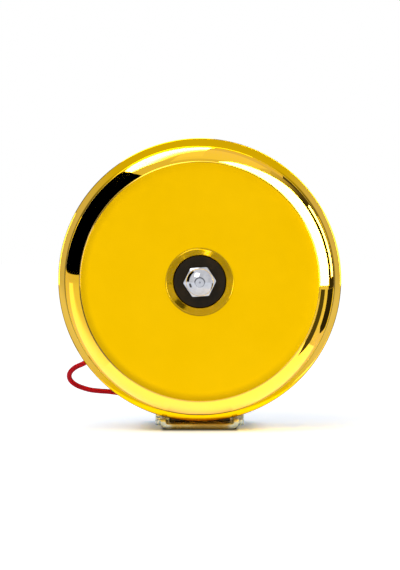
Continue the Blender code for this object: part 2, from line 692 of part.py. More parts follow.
def plate_holes():
    """Across, height and radius of each hole through the plate."""
    holes = [(0.0, AXIS_HEIGHT, TENON_RADIUS + SEAT_GAP)]
    for side in (-1, 1):
        holes.append((side * WALL_HOLE_SPREAD, AXIS_HEIGHT + WALL_HOLE_RISE, WALL_HOLE_RADIUS))
        holes.append((side * WALL_HOLE_SPREAD, AXIS_HEIGHT - WALL_HOLE_DROP, WALL_HOLE_RADIUS))
        holes.append((BRACKET_ACROSS + side * BRACKET_SCREW_SPREAD, BRACKET_SCREW_HEIGHT, SCREW_BORE))
    holes.append((-BUSH_ACROSS, AXIS_HEIGHT + BUSH_RISE, BUSH_BORE + BUSH_WALL + SEAT_GAP))
    holes.append((PILLAR_MIDDLE, PILLAR_SCREW_HEIGHT, SCREW_BORE))
    holes.append((ANCHOR_ACROSS, SPRING_HEIGHT, ANCHOR_BORE))
    holes.append((EARTH_ACROSS, AXIS_HEIGHT + EARTH_RISE, SCREW_BORE))
    return holes


def build_base_plate():
    origin = at(0.0, 0.0, 0.0)
    plate = sheet("base_plate", bend_outline(), PLATE_WIDTH + CUT_OVERRUN, origin, FACING_SIDE)
    reach = 2 * (FOOT_LENGTH + 2 * CUT_OVERRUN)
    keep(plate, sheet("plate_outline", plate_outline(), reach, origin, FACING_FRONT))
    tall = 2 * (PLATE_TOP + 2 * CUT_OVERRUN)
    keep(plate, sheet("foot_outline", foot_outline(), tall, origin, FACING_DOWN))
    channel_back = FOOT_STEP_LENGTH - CUT_OVERRUN
    channel_middle = at(0.0, (channel_back + FOOT_LENGTH) / 2, 0.0)
    channel_length = FOOT_LENGTH - channel_back
    join(plate, sheet("foot_channel", channel_outline(), channel_length, channel_middle, FACING_FRONT))
    for across, height, radius in plate_holes():
        drill(plate, radius, at(across, -CUT_OVERRUN, height), at(across, PLATE_THICK + CUT_OVERRUN, height))
    foot_hole_top = at(0.0, BLOCK_MIDDLE, PLATE_THICK + CUT_OVERRUN)
    drill(plate, SCREW_BORE, at(0.0, BLOCK_MIDDLE, -CUT_OVERRUN), foot_hole_top)
    finish(plate, YELLOW_ZINC)


def build_cable_bush():
    barrel = BUSH_BORE + BUSH_WALL
    top = PLATE_FRONT + BUSH_FLANGE_THICK
    profile = [
        (BUSH_BORE, top),
        (barrel + BUSH_FLANGE, top),
        (barrel + BUSH_FLANGE, PLATE_FRONT),
        (barrel, PLATE_FRONT),
        (barrel, SEAT_GAP),
        (BUSH_BORE, SEAT_GAP),
        (BUSH_BORE, top),
    ]
    place = at(-BUSH_ACROSS, 0.0, AXIS_HEIGHT + BUSH_RISE)
    finish(turned("cable_bush", profile, place, TO_FRONT), RUBBER)


def build_earth_screw():
    seat = at(EARTH_ACROSS, PLATE_FRONT, AXIS_HEIGHT + EARTH_RISE)
    slotted_screw("earth_screw", seat, TO_FRONT, PLATE_THICK, BRASS)


def build_terminal_block():
    half = BLOCK_WIDTH / 2
    low = (-half, BLOCK_FRONT - BLOCK_DEPTH, BLOCK_BASE)
    block = box("terminal_block", low, (half, BLOCK_FRONT, BLOCK_TOP))
    screw_height = BLOCK_BASE + TERMINAL_HEIGHT
    entry_height = BLOCK_BASE + LEAD_ENTRY_HEIGHT
    tip = BLOCK_FRONT - TERMINAL_SCREW_LENGTH - SEAT_GAP
    for side, word in ((-1, "left"), (1, "right")):
        across = side * TERMINAL_SPREAD
        drill(block, SCREW_BORE, at(across, tip, screw_height),
              at(across, BLOCK_FRONT + CUT_OVERRUN, screw_height))
        entry_end = side * (half - LEAD_ENTRY_DEPTH)
        drill(block, LEAD_RADIUS + SEAT_GAP, at(entry_end, BLOCK_MIDDLE, entry_height),
              at(side * (half + CUT_OVERRUN), BLOCK_MIDDLE, entry_height))
        seat = at(across, BLOCK_FRONT + SEAT_GAP, screw_height)
        slotted_screw("terminal_screw_" + word, seat, TO_FRONT, TERMINAL_SCREW_LENGTH, BRASS)
    drill(block, SCREW_BORE, at(0.0, BLOCK_MIDDLE, 0.0), at(0.0, BLOCK_MIDDLE, BLOCK_TOP + CUT_OVERRUN))
    finish(block, BAKELITE)
    seat = at(0.0, BLOCK_MIDDLE, BLOCK_SCREW_SEAT)
    slotted_screw("terminal_block_screw", seat, TO_TOP, BLOCK_SCREW_SEAT - SEAT_GAP, ZINC)


def build_magnet_bracket():
    back = PLATE_FRONT
    front = PLATE_FRONT + BRACKET_THICK
    outline = rounded([
        (back, SHELF_BOTTOM - BRACKET_DROP, 0.0),
        (front, SHELF_BOTTOM - BRACKET_DROP, 0.0),
        (front, SHELF_BOTTOM, BRACKET_BEND),
        (YOKE_FRONT, SHELF_BOTTOM, 0.0),
        (YOKE_FRONT, SHELF_TOP, 0.0),
        (back, SHELF_TOP, BRACKET_BEND + BRACKET_THICK),
    ])
    origin = at(BRACKET_ACROSS, 0.0, 0.0)
    bracket = sheet("magnet_bracket", outline, BRACKET_WIDTH, origin, FACING_SIDE)
    for side, word in ((-1, "left"), (1, "right")):
        across = BRACKET_ACROSS + side * BRACKET_SCREW_SPREAD
        drill(bracket, SCREW_BORE, at(across, 0.0, BRACKET_SCREW_HEIGHT),
              at(across, front + CUT_OVERRUN, BRACKET_SCREW_HEIGHT))
        seat = at(across, front + SEAT_GAP, BRACKET_SCREW_HEIGHT)
        slotted_screw("bracket_screw_" + word, seat, TO_FRONT, front, ZINC)
        across = BRACKET_ACROSS + side * YOKE_SCREW_SPREAD
        drill(bracket, SCREW_BORE, at(across, YOKE_SCREW_DEPTH, SHELF_BOTTOM - CUT_OVERRUN),
              at(across, YOKE_SCREW_DEPTH, SHELF_TOP + CUT_OVERRUN))
        seat = at(across, YOKE_SCREW_DEPTH, SHELF_BOTTOM - SEAT_GAP)
        slotted_screw("yoke_screw_" + word, seat, -TO_TOP, BRACKET_THICK + YOKE_THICK, ZINC)
    finish(bracket, ZINC)


def build_yoke():
    leg_top = COIL_HEIGHT + YOKE_LEG_RISE
    outline = rounded([
        (YOKE_LEG_LEFT, YOKE_BOTTOM, YOKE_THICK),
        (YOKE_RIGHT, YOKE_BOTTOM, 0.0),
        (YOKE_RIGHT, YOKE_TOP, 0.0),
        (YOKE_LEG_RIGHT, YOKE_TOP, 0.0),
        (YOKE_LEG_RIGHT, leg_top, 0.0),
        (YOKE_LEG_LEFT, leg_top, 0.0),
    ])
    yoke = sheet("yoke", outline, YOKE_WIDTH, at(0.0, COIL_DEPTH, 0.0), FACING_FRONT)
    tip = PIVOT_ACROSS + KNUCKLE_RADIUS
    low = PIVOT_HEIGHT - KNUCKLE_RADIUS
    high = PIVOT_HEIGHT + KNUCKLE_RADIUS
    lug_outline = rounded([
        (YOKE_RIGHT - LUG_ROOT, low, 0.0),
        (tip, low, KNUCKLE_CORNER),
        (tip, high, KNUCKLE_CORNER),
        (YOKE_RIGHT - LUG_ROOT, high, 0.0),
    ])
    for lug_back, word in ((YOKE_BACK, "back"), (YOKE_FRONT - LUG_THICK, "front")):
        middle = at(0.0, lug_back + LUG_THICK / 2, 0.0)
        join(yoke, sheet("lug_" + word, lug_outline, LUG_THICK, middle, FACING_FRONT))
    drill(yoke, PIN_BORE, at(PIVOT_ACROSS, YOKE_BACK - CUT_OVERRUN, PIVOT_HEIGHT),
          at(PIVOT_ACROSS, YOKE_FRONT + CUT_OVERRUN, PIVOT_HEIGHT))
    drill(yoke, SCREW_BORE, at(YOKE_LEG_LEFT - CUT_OVERRUN, COIL_DEPTH, COIL_HEIGHT),
          at(YOKE_LEG_RIGHT + CUT_OVERRUN, COIL_DEPTH, COIL_HEIGHT))
    for side in (-1, 1):
        across = BRACKET_ACROSS + side * YOKE_SCREW_SPREAD
        drill(yoke, SCREW_BORE, at(across, YOKE_SCREW_DEPTH, YOKE_BOTTOM - CUT_OVERRUN),
              at(across, YOKE_SCREW_DEPTH, YOKE_TOP + CUT_OVERRUN))
    finish(yoke, IRON)


def build_coil():
    core = round_bar("coil_core", CORE_RADIUS, at(BOBBIN_LEFT, COIL_DEPTH, COIL_HEIGHT),
                     at(CORE_FACE, COIL_DEPTH, COIL_HEIGHT), COIL_STEPS)
    tip = YOKE_LEG_LEFT + CORE_SCREW_LENGTH
    drill(core, SCREW_BORE, at(BOBBIN_LEFT - CUT_OVERRUN, COIL_DEPTH, COIL_HEIGHT),
          at(tip, COIL_DEPTH, COIL_HEIGHT))
    finish(core, IRON)
    seat = at(YOKE_LEG_LEFT - SEAT_GAP, COIL_DEPTH, COIL_HEIGHT)
    slotted_screw("core_screw", seat, -TO_RIGHT, CORE_SCREW_LENGTH, ZINC)
    left = at(BOBBIN_LEFT, COIL_DEPTH, COIL_HEIGHT)
    profile = [
        (CORE_BORE, BOBBIN_LENGTH),
        (FLANGE_RADIUS, BOBBIN_LENGTH),
        (FLANGE_RADIUS, BOBBIN_LENGTH - FLANGE_THICK),
        (BARREL_RADIUS, BOBBIN_LENGTH - FLANGE_THICK),
        (BARREL_RADIUS, FLANGE_THICK),
        (FLANGE_RADIUS, FLANGE_THICK),
        (FLANGE_RADIUS, 0.0),
        (CORE_BORE, 0.0),
        (CORE_BORE, BOBBIN_LENGTH),
    ]
    finish(turned("coil_bobbin", profile, left, TO_RIGHT, COIL_STEPS), BAKELITE)
    start = at(BOBBIN_LEFT + FLANGE_THICK + SEAT_GAP, COIL_DEPTH, COIL_HEIGHT)
    length = BOBBIN_LENGTH - 2 * FLANGE_THICK - 2 * SEAT_GAP
    winding = ring("coil_winding", FLANGE_RADIUS - WINDING_INSET, BARREL_RADIUS + SEAT_GAP, length,
                   start, TO_RIGHT)
    finish(winding, TAPE)


def build_armature(pivot):
    body_bottom = PIVOT_HEIGHT + ARMATURE_NECK
    knuckle_width = YOKE_WIDTH - 2 * LUG_THICK - 2 * SEAT_GAP
    low = (ARMATURE_LEFT, ARMATURE_BACK, body_bottom)
    armature = box("armature", low, (ARMATURE_RIGHT, ARMATURE_FRONT, ARMATURE_TOP))
    left = PIVOT_ACROSS - KNUCKLE_RADIUS
    right = PIVOT_ACROSS + KNUCKLE_RADIUS
    neck_outline = rounded([
        (left, PIVOT_HEIGHT - KNUCKLE_RADIUS, KNUCKLE_CORNER),
        (right, PIVOT_HEIGHT - KNUCKLE_RADIUS, KNUCKLE_CORNER),
        (ARMATURE_RIGHT - SEAT_GAP, body_bottom + CUT_OVERRUN, 0.0),
        (ARMATURE_LEFT + SEAT_GAP, body_bottom + CUT_OVERRUN, 0.0),
    ])
    join(armature, sheet("knuckle", neck_outline, knuckle_width, at(0.0, COIL_DEPTH, 0.0), FACING_FRONT))
    drill(armature, PIN_BORE, at(PIVOT_ACROSS, YOKE_BACK, PIVOT_HEIGHT),
          at(PIVOT_ACROSS, YOKE_FRONT, PIVOT_HEIGHT))
    drill(armature, ROD_RADIUS + SEAT_GAP, at(PIVOT_ACROSS, ARMATURE_FRONT - ROD_SOCKET, ROD_HEIGHT),
          at(PIVOT_ACROSS, ARMATURE_FRONT + CUT_OVERRUN, ROD_HEIGHT))
    drill(armature, SPRING_BORE, at(ARMATURE_LEFT - CUT_OVERRUN, SPRING_DEPTH, SPRING_HEIGHT),
          at(ARMATURE_RIGHT + CUT_OVERRUN, SPRING_DEPTH, SPRING_HEIGHT))
    screw_height = CONTACT_Z - BLADE_SCREW_DROP
    drill(armature, SCREW_BORE, at(BLADE_LEFT - BLADE_SCREW_LENGTH, COIL_DEPTH, screw_height),
          at(ARMATURE_RIGHT + CUT_OVERRUN, COIL_DEPTH, screw_height))
    finish(armature, IRON, pivot)


def build_pivot_pin():
    front = YOKE_FRONT + SEAT_GAP
    back = YOKE_BACK - PIN_TAIL
    profile = [
        (0.0, front + PIN_HEAD_HEIGHT),
        (PIN_HEAD_RADIUS, front + PIN_HEAD_HEIGHT),
        (PIN_HEAD_RADIUS, front),
        (PIN_RADIUS, front),
        (PIN_RADIUS, back),
        (0.0, back),
    ]
    place = at(PIVOT_ACROSS, 0.0, PIVOT_HEIGHT)
    finish(turned("armature_pivot_pin", profile, place, TO_FRONT), ZINC)


def build_hammer(pivot):
    head = at(HAMMER_ACROSS, HAMMER_DEPTH, HAMMER_HEIGHT)
    elbow = at(PIVOT_ACROSS, HAMMER_DEPTH, ROD_HEIGHT)
    along = (head - elbow).normalized()
    bend_start = elbow - TO_FRONT * ROD_BEND
    bend_end = elbow + along * ROD_BEND
    places = [at(PIVOT_ACROSS, ROD_START, ROD_HEIGHT)]
    for step in range(ARC_STEPS + 1):
        s = step / ARC_STEPS
        places.append((1 - s) ** 2 * bend_start + 2 * s * (1 - s) * elbow + s ** 2 * bend_end)
    rod_tip = head - along * (HAMMER_RADIUS - HAMMER_SOCKET)
    places.append(rod_tip)
    finish(wire("hammer_rod", places, ROD_RADIUS, WIRE_ROUNDNESS, pivot.location), SPRING_STEEL, pivot)
    bm = bmesh.new()
    bmesh.ops.create_uvsphere(bm, u_segments=SCREW_STEPS, v_segments=SCREW_STEPS // 2, radius=HAMMER_RADIUS)
    ball = mesh_object("hammer_head", bm)
    ball.location = head
    ball.rotation_euler = along.to_track_quat("Z", "Y").to_euler()
    socket_mouth = head - along * (HAMMER_RADIUS + CUT_OVERRUN)
    drill(ball, ROD_RADIUS + SEAT_GAP, socket_mouth, rod_tip + along * SEAT_GAP)
    finish(ball, BRASS, pivot)


def build_contact_blade(pivot):
    half = BLADE_WIDTH / 2
    screw_height = CONTACT_Z - BLADE_SCREW_DROP
    low = (BLADE_LEFT, COIL_DEPTH - half, CONTACT_Z - BLADE_DROP)
    blade = box("contact_blade", low, (BLADE_RIGHT, COIL_DEPTH + half, CONTACT_Z + BLADE_RISE))
    drill(blade, SCREW_BORE, at(BLADE_LEFT - CUT_OVERRUN, COIL_DEPTH, screw_height),
          at(BLADE_RIGHT + CUT_OVERRUN, COIL_DEPTH, screw_height))
    finish(blade, SPRING_STEEL, pivot)
    seat = at(BLADE_RIGHT + SEAT_GAP, COIL_DEPTH, screw_height)
    slotted_screw("blade_screw", seat, TO_RIGHT, BLADE_SCREW_LENGTH, ZINC, pivot)
    start = at(CONTACT_LEFT, COIL_DEPTH, CONTACT_Z)
    point = round_bar("contact_point", CONTACT_RADIUS, start, start + TO_RIGHT * CONTACT_LENGTH)
    finish(point, ZINC, pivot)


def build_contact_pillar():
    insulator_low = (PILLAR_LEFT - INSULATOR_MARGIN, PLATE_FRONT, PILLAR_BOTTOM - INSULATOR_MARGIN)
    insulator_front = PLATE_FRONT + INSULATOR_THICK
    insulator_high = (PILLAR_RIGHT + INSULATOR_MARGIN, insulator_front, PILLAR_TOP + INSULATOR_MARGIN)
    insulator = box("contact_insulator", insulator_low, insulator_high)
    outline = rounded([
        (PILLAR_BACK, PILLAR_BOTTOM, 0.0),
        (PILLAR_BACK + PILLAR_FOOT_THICK, PILLAR_BOTTOM, 0.0),
        (PILLAR_BACK + PILLAR_FOOT_THICK, PILLAR_UNDERSIDE, PILLAR_FILLET),
        (PILLAR_FRONT, PILLAR_UNDERSIDE, 0.0),
        (PILLAR_FRONT, PILLAR_TOP, 0.0),
        (PILLAR_BACK, PILLAR_TOP, 0.0),
    ])
    pillar = sheet("contact_pillar", outline, PILLAR_THICK, at(PILLAR_MIDDLE, 0.0, 0.0), FACING_SIDE)
    foot_front = PILLAR_BACK + PILLAR_FOOT_THICK
    for piece in (insulator, pillar):
        drill(piece, SCREW_BORE, at(PILLAR_MIDDLE, 0.0, PILLAR_SCREW_HEIGHT),
              at(PILLAR_MIDDLE, foot_front + CUT_OVERRUN, PILLAR_SCREW_HEIGHT))
    drill(pillar, ADJUSTER_BORE, at(PILLAR_LEFT - CUT_OVERRUN, COIL_DEPTH, CONTACT_Z),
          at(PILLAR_RIGHT + CUT_OVERRUN, COIL_DEPTH, CONTACT_Z))
    finish(insulator, FIBRE)
    finish(pillar, BRASS)
    seat = at(PILLAR_MIDDLE, foot_front + SEAT_GAP, PILLAR_SCREW_HEIGHT)
    slotted_screw("pillar_screw", seat, TO_FRONT, foot_front, ZINC)


def build_contact_screw():
    length = ADJUSTER_END - ADJUSTER_TIP
    neck = ADJUSTER_HEAD_LEFT - ADJUSTER_TIP
    profile = [
        (0.0, length),
        (ADJUSTER_HEAD_RADIUS, length),
        (ADJUSTER_HEAD_RADIUS, neck),
        (ADJUSTER_RADIUS, neck),
        (ADJUSTER_RADIUS, ADJUSTER_TIP_LENGTH),
        (ADJUSTER_TIP_RADIUS, ADJUSTER_TIP_LENGTH),
        (ADJUSTER_TIP_RADIUS, 0.0),
        (0.0, 0.0),
    ]
    tip = at(ADJUSTER_TIP, COIL_DEPTH, CONTACT_Z)
    screw = turned("contact_screw", profile, tip, TO_RIGHT, ADJUSTER_STEPS)
    half_slot = SLOT_WIDTH / 2
    slot_low = (ADJUSTER_END - SLOT_DEPTH, COIL_DEPTH - half_slot, CONTACT_Z - 2 * ADJUSTER_HEAD_RADIUS)
    slot_high = (ADJUSTER_END + CUT_OVERRUN, COIL_DEPTH + half_slot, CONTACT_Z + 2 * ADJUSTER_HEAD_RADIUS)
    cut(screw, box("contact_screw_slot", slot_low, slot_high))
    finish(screw, BRASS)
    start = at(LOCK_NUT_LEFT, COIL_DEPTH, CONTACT_Z)
    end = start + TO_RIGHT * LOCK_NUT_THICK
    nut = round_bar("contact_lock_nut", LOCK_NUT_FLATS / math.sqrt(3), start, end, 6)
    drill(nut, ADJUSTER_BORE, start - TO_RIGHT * CUT_OVERRUN, end + TO_RIGHT * CUT_OVERRUN)
    finish(nut, BRASS)


def spring_places():
    """Hooked tail through the armature, the turns, and a hooked tail through the anchor post."""
    tail_left = ARMATURE_LEFT - SPRING_WIRE - SEAT_GAP
    tail_right = ANCHOR_ACROSS + ANCHOR_RADIUS + SPRING_WIRE + SEAT_GAP
    hook_height = SPRING_HEIGHT + SPRING_TAIL
    places = [at(tail_left, SPRING_DEPTH, hook_height), at(tail_left, SPRING_DEPTH, SPRING_HEIGHT)]
    half_turn = SPRING_POINTS_PER_TURN // 2
    steps = (SPRING_TURNS + 1) * SPRING_POINTS_PER_TURN
    across = SPRING_START
    for step in range(steps + 1):
        from_end = min(step, steps - step)
        radius = SPRING_RADIUS * min(1.0, from_end / half_turn)
        angle = 2 * math.pi * step / SPRING_POINTS_PER_TURN
        depth = SPRING_DEPTH + radius * math.sin(angle)
        places.append(at(across, depth, SPRING_HEIGHT + radius * math.cos(angle)))
        in_lead = min(step, steps - 1 - step) < half_turn
        across += SPRING_LEAD_IN / half_turn if in_lead else SPRING_PITCH / SPRING_POINTS_PER_TURN
    places += [at(tail_right, SPRING_DEPTH, SPRING_HEIGHT), at(tail_right, SPRING_DEPTH, hook_height)]
    return places


def least_self_gap(places, radius, skip):
    """Smallest space between stretches of a wire at least skip points apart."""
    gaps = []
    for i, place in enumerate(places):
        for other in places[i + skip:]:
            gaps.append((other - place).length - 2 * radius)
    return min(gaps)


def build_return_spring():
    places = spring_places()
    gap = least_self_gap(places, SPRING_WIRE, SPRING_POINTS_PER_TURN // 2 + 1)
    print("return_spring least gap to itself, mm:", round(gap / MM, 2))
    origin = at(ANCHOR_ACROSS, SPRING_DEPTH, SPRING_HEIGHT)
    spring = wire("return_spring", places, SPRING_WIRE, SPRING_ROUNDNESS, origin)
    finish(spring, SPRING_STEEL)


def build_spring_anchor():
    top = SPRING_DEPTH + ANCHOR_TOP
    profile = [
        (0.0, top),
        (ANCHOR_RADIUS, top),
        (ANCHOR_RADIUS, PLATE_FRONT),
        (ANCHOR_TENON, PLATE_FRONT),
        (ANCHOR_TENON, SEAT_GAP),
        (0.0, SEAT_GAP),
    ]
    anchor = turned("spring_anchor", profile, at(ANCHOR_ACROSS, 0.0, SPRING_HEIGHT), TO_FRONT)
    reach = TO_RIGHT * (ANCHOR_RADIUS + CUT_OVERRUN)
    middle = at(ANCHOR_ACROSS, SPRING_DEPTH, SPRING_HEIGHT)
    drill(anchor, SPRING_BORE, middle - reach, middle + reach)
    finish(anchor, ZINC)


def smooth_route(points, spacing):
    """Evenly spaced places along a smooth curve through the route's points."""
    fine_steps = 24
    fine = []
    padded = [2 * points[0] - points[1], *points, 2 * points[-1] - points[-2]]
    for a, b, c, d in zip(padded, padded[1:], padded[2:], padded[3:]):
        for step in range(fine_steps):
            s = step / fine_steps
            pull = (c - a) * s + (2 * a - 5 * b + 4 * c - d) * s ** 2 + (3 * b - a - 3 * c + d) * s ** 3
            fine.append(b + pull / 2)
    fine.append(points[-1])
    lengths = [0.0]
    for first, second in zip(fine, fine[1:]):
        lengths.append(lengths[-1] + (second - first).length)
    count = round(lengths[-1] / spacing)
    places = []
    index = 0
    for step in range(count):
        wanted = lengths[-1] * step / count
        while lengths[index + 1] < wanted:
            index += 1
        share = (wanted - lengths[index]) / (lengths[index + 1] - lengths[index])
        places.append(fine[index].lerp(fine[index + 1], share))
    places.append(fine[-1])
    print("red_lead length, mm:", round(lengths[-1] / MM, 1))
    return places


def build_red_lead():
    route = [at(across * MM, depth * MM, height * MM) for across, depth, height in LEAD_ROUTE_MM]
    places = smooth_route(route, LEAD_SPACING)
    finish(wire("red_lead", places, LEAD_RADIUS, WIRE_ROUNDNESS, places[0]), RED_PVC)


def new_pivot(name, place):
    pivot = bpy.data.objects.new(name, None)
    PARTS.objects.link(pivot)
    pivot.location = place
    return pivot


build_gong()
build_gong_post()
build_gong_washers()
build_cap_nut()
build_base_plate()
build_cable_bush()
build_earth_screw()
build_terminal_block()
build_magnet_bracket()
build_yoke()
build_coil()
build_pivot_pin()
hammer_pivot = new_pivot("hammer_pivot", at(PIVOT_ACROSS, COIL_DEPTH, PIVOT_HEIGHT))
build_armature(hammer_pivot)
build_hammer(hammer_pivot)
build_contact_blade(hammer_pivot)
build_contact_pillar()
build_contact_screw()
build_return_spring()
build_spring_anchor()
build_red_lead()
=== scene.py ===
"""Fire alarm bell: a gilt gong on a bent steel base, with its trembler movement behind it.

The sections follow the bell as it is put together: the studio it stands in, the plate that
everything is fixed to, the magnet, the hammer, the contacts, the lead, and last the gong.
"""
import math

import bmesh
import bpy
from mathutils import Matrix, Vector


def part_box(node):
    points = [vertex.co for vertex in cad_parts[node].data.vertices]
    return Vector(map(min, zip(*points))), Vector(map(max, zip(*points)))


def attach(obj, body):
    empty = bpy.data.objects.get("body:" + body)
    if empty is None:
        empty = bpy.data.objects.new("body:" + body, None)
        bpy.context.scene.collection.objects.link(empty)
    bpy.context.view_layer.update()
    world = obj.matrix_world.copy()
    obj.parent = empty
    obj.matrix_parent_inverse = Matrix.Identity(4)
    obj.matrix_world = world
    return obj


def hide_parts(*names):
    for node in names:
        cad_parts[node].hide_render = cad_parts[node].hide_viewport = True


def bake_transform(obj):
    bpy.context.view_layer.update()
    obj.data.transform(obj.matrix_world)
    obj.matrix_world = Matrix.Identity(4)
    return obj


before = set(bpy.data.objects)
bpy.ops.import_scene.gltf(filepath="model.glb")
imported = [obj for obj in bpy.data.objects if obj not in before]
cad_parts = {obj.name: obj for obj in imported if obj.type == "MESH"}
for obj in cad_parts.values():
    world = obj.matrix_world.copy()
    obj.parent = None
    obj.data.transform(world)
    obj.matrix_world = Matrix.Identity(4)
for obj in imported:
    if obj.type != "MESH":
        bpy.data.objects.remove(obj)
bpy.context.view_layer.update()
scene = bpy.context.scene
scene.view_settings.view_transform = "Standard"

# Camera: a long lens a little above the middle of the gong, square on to its face.
# The gong fills seven tenths of the picture's width and sits just above its middle.
MM = 0.001
gong_low, gong_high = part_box("gong")
gong_middle = (gong_low + gong_high) / 2
rim_y = gong_high.y
camera_distance = 1.1
camera_rise = 27.0 * MM
aim_drop = 1.9 * MM
aim_aside = 0.1 * MM
camera_data = bpy.data.cameras.new("camera")
camera_data.sensor_width = 36.0
camera_data.lens = 193.4
camera = bpy.data.objects.new("camera", camera_data)
scene.collection.objects.link(camera)
camera.location = (gong_middle.x, rim_y - camera_distance, gong_middle.z + camera_rise)
aim = Vector((gong_middle.x + aim_aside, rim_y, gong_middle.z - aim_drop))
camera.rotation_euler = (aim - camera.location).to_track_quat("-Z", "Y").to_euler()
scene.camera = camera

# Table and room: a matt white table in a white room, both plain white to the camera and to the
# polished metal. The room gives even light from all round, and one soft lamp gives it a direction.
# Round the foot of the bell the table carries a painted contact shadow.
table_reach = 3.0
table_white = (0.82, 0.86, 0.92, 1.0)
table_lift = 0.42
plain_white = (1.0, 1.0, 1.0, 1.0)
room_seen = 1.0
room_light = 0.72
plate_low, plate_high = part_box("base_plate")
foot_half = 12.5 * MM
foot_half_depth = (plate_high.y - plate_low.y) / 2
foot_middle_y = (plate_high.y + plate_low.y) / 2
# Painted contact shadow: near the foot the table's colour darkens and its lift fades out.
painted_shadow_lift_reach = 14.0 * MM
painted_contact_shadow = (0.05, 0.06, 0.075, 1.0)
painted_shadow_half_depth = 8.0 * MM
painted_shadow_reach = 17.0 * MM
painted_shadow_squeeze = (9.0, 1.0, 1.0)
# A painted cool tint near the foot, against the warm light that the gilt bounces onto the table.
bounce_cancelling_blue = (0.66, 0.79, 1.0, 1.0)
bounce_cancelling_reach = 60.0 * MM
lamp_place = Vector((-0.35, -0.75, 1.0))
lamp_size = 0.6
lamp_power = 4.0
MIX_COLOUR_ONE = 6
MIX_COLOUR_TWO = 7
MIX_COLOUR_RESULT = 2


def add(tree, kind, inputs=None, **settings):
    """A new node in a tree. Each of its inputs takes a plain value or what another node gives."""
    node = tree.nodes.new(kind)
    for word, value in settings.items():
        setattr(node, word, value)
    for socket, value in (inputs or {}).items():
        if isinstance(value, bpy.types.NodeSocket):
            tree.links.new(value, node.inputs[socket])
        else:
            node.inputs[socket].default_value = value
    return node


def combined(tree, operation, *values, **settings):
    """One number out of others, by the operation."""
    node = add(tree, "ShaderNodeMath", dict(enumerate(values)), operation=operation, **settings)
    return node.outputs["Value"]


def vector(tree, operation, *values):
    """One vector out of others, by the operation."""
    node = add(tree, "ShaderNodeVectorMath", dict(enumerate(values)), operation=operation)
    return node.outputs["Vector"]


def measure(tree, operation, *values):
    """One number out of vectors, by the operation."""
    node = add(tree, "ShaderNodeVectorMath", dict(enumerate(values)), operation=operation)
    return node.outputs["Value"]


def spread(tree, value, low, high, to_low, to_high, easing="SMOOTHSTEP"):
    """Maps a value from one range to another, held at both ends."""
    ranges = {"Value": value, "From Min": low, "From Max": high, "To Min": to_low, "To Max": to_high}
    return add(tree, "ShaderNodeMapRange", ranges, interpolation_type=easing).outputs["Result"]


def blended(tree, share, one, two):
    """A colour that goes over from one to another by a share."""
    sockets = {"Factor": share, MIX_COLOUR_ONE: one, MIX_COLOUR_TWO: two}
    return add(tree, "ShaderNodeMix", sockets, data_type="RGBA").outputs[MIX_COLOUR_RESULT]


def new_material(name):
    """A node material with nothing in its tree yet, and its tree."""
    material = bpy.data.materials.new(name)
    material.use_nodes = True
    material.node_tree.nodes.clear()
    return material, material.node_tree


def place_in(tree):
    """Place of a spot in the space of its piece."""
    return add(tree, "ShaderNodeTexCoord").outputs["Object"]


def both_of(tree, one, two):
    """Two shaders added to each other."""
    return add(tree, "ShaderNodeAddShader", {0: one, 1: two}).outputs["Shader"]


def surface(tree, shader):
    """Ends a material with the shader of its surface."""
    add(tree, "ShaderNodeOutputMaterial", {"Surface": shader})


def seen_directly(tree):
    """One for rays from the camera, or mirrored or let through by the bell, and none for the rest."""
    path = add(tree, "ShaderNodeLightPath").outputs
    seen = combined(tree, "MAXIMUM", path["Is Camera Ray"], path["Is Glossy Ray"])
    return combined(tree, "MAXIMUM", seen, path["Is Transmission Ray"])


def flat_card(name, corners):
    """A flat card for the studio."""
    mesh = bpy.data.meshes.new(name)
    mesh.from_pydata(corners, [], [tuple(range(len(corners)))])
    card = bpy.data.objects.new(name, mesh)
    scene.collection.objects.link(card)
    return card


def past_foot(tree, spot, middle_y, half_depth):
    """How far a spot lies outside the foot's width and a depth to each side of a middle."""
    aside = add(tree, "ShaderNodeMapping", {"Vector": spot, "Location": (0.0, -middle_y, 0.0)})
    apart = vector(tree, "ABSOLUTE", aside.outputs["Vector"])
    beyond = vector(tree, "SUBTRACT", apart, (foot_half, half_depth, 0.0))
    return vector(tree, "MAXIMUM", beyond, (0.0, 0.0, 0.0))


table = flat_card("table", [(-table_reach, -table_reach, 0.0), (table_reach, -table_reach, 0.0),
                            (table_reach, table_reach, 0.0), (-table_reach, table_reach, 0.0)])
table_finish_with_painted_shadow, tree = new_material("table_white")
spot = place_in(tree)
gap = measure(tree, "LENGTH", past_foot(tree, spot, foot_middle_y, foot_half_depth))
# Painted contact shadow, darkest just in front of the foot's toe and squeezed in at its sides.
painted_shadow_spot = past_foot(tree, spot, plate_low.y + painted_shadow_half_depth, painted_shadow_half_depth)
painted_shadow_gap = measure(tree, "LENGTH", vector(tree, "MULTIPLY", painted_shadow_spot, painted_shadow_squeeze))
# Painted cool tint that cancels the gilt's warm bounce light, fading out away from the foot.
bounce_cancelling_share = spread(tree, gap, 0.0, bounce_cancelling_reach, 0.0, 1.0, "LINEAR")
painted_shadow_share = spread(tree, painted_shadow_gap, 0.0, painted_shadow_reach, 0.0, 1.0)
colour_with_painted_shadow = blended(tree, painted_shadow_share, painted_contact_shadow, blended(tree, bounce_cancelling_share, bounce_cancelling_blue, table_white))
# The lift fades to nothing at the foot, which paints more shadow round it.
lift_with_painted_shadow = spread(tree, gap, 0.0, painted_shadow_lift_reach, 0.0, table_lift)
lift = add(tree, "ShaderNodeEmission", {"Strength": combined(tree, "MULTIPLY", seen_directly(tree), lift_with_painted_shadow)})
matt = add(tree, "ShaderNodeBsdfDiffuse", {"Color": colour_with_painted_shadow})
surface(tree, both_of(tree, matt.outputs["BSDF"], lift.outputs["Emission"]))
table.data.materials.append(table_finish_with_painted_shadow)

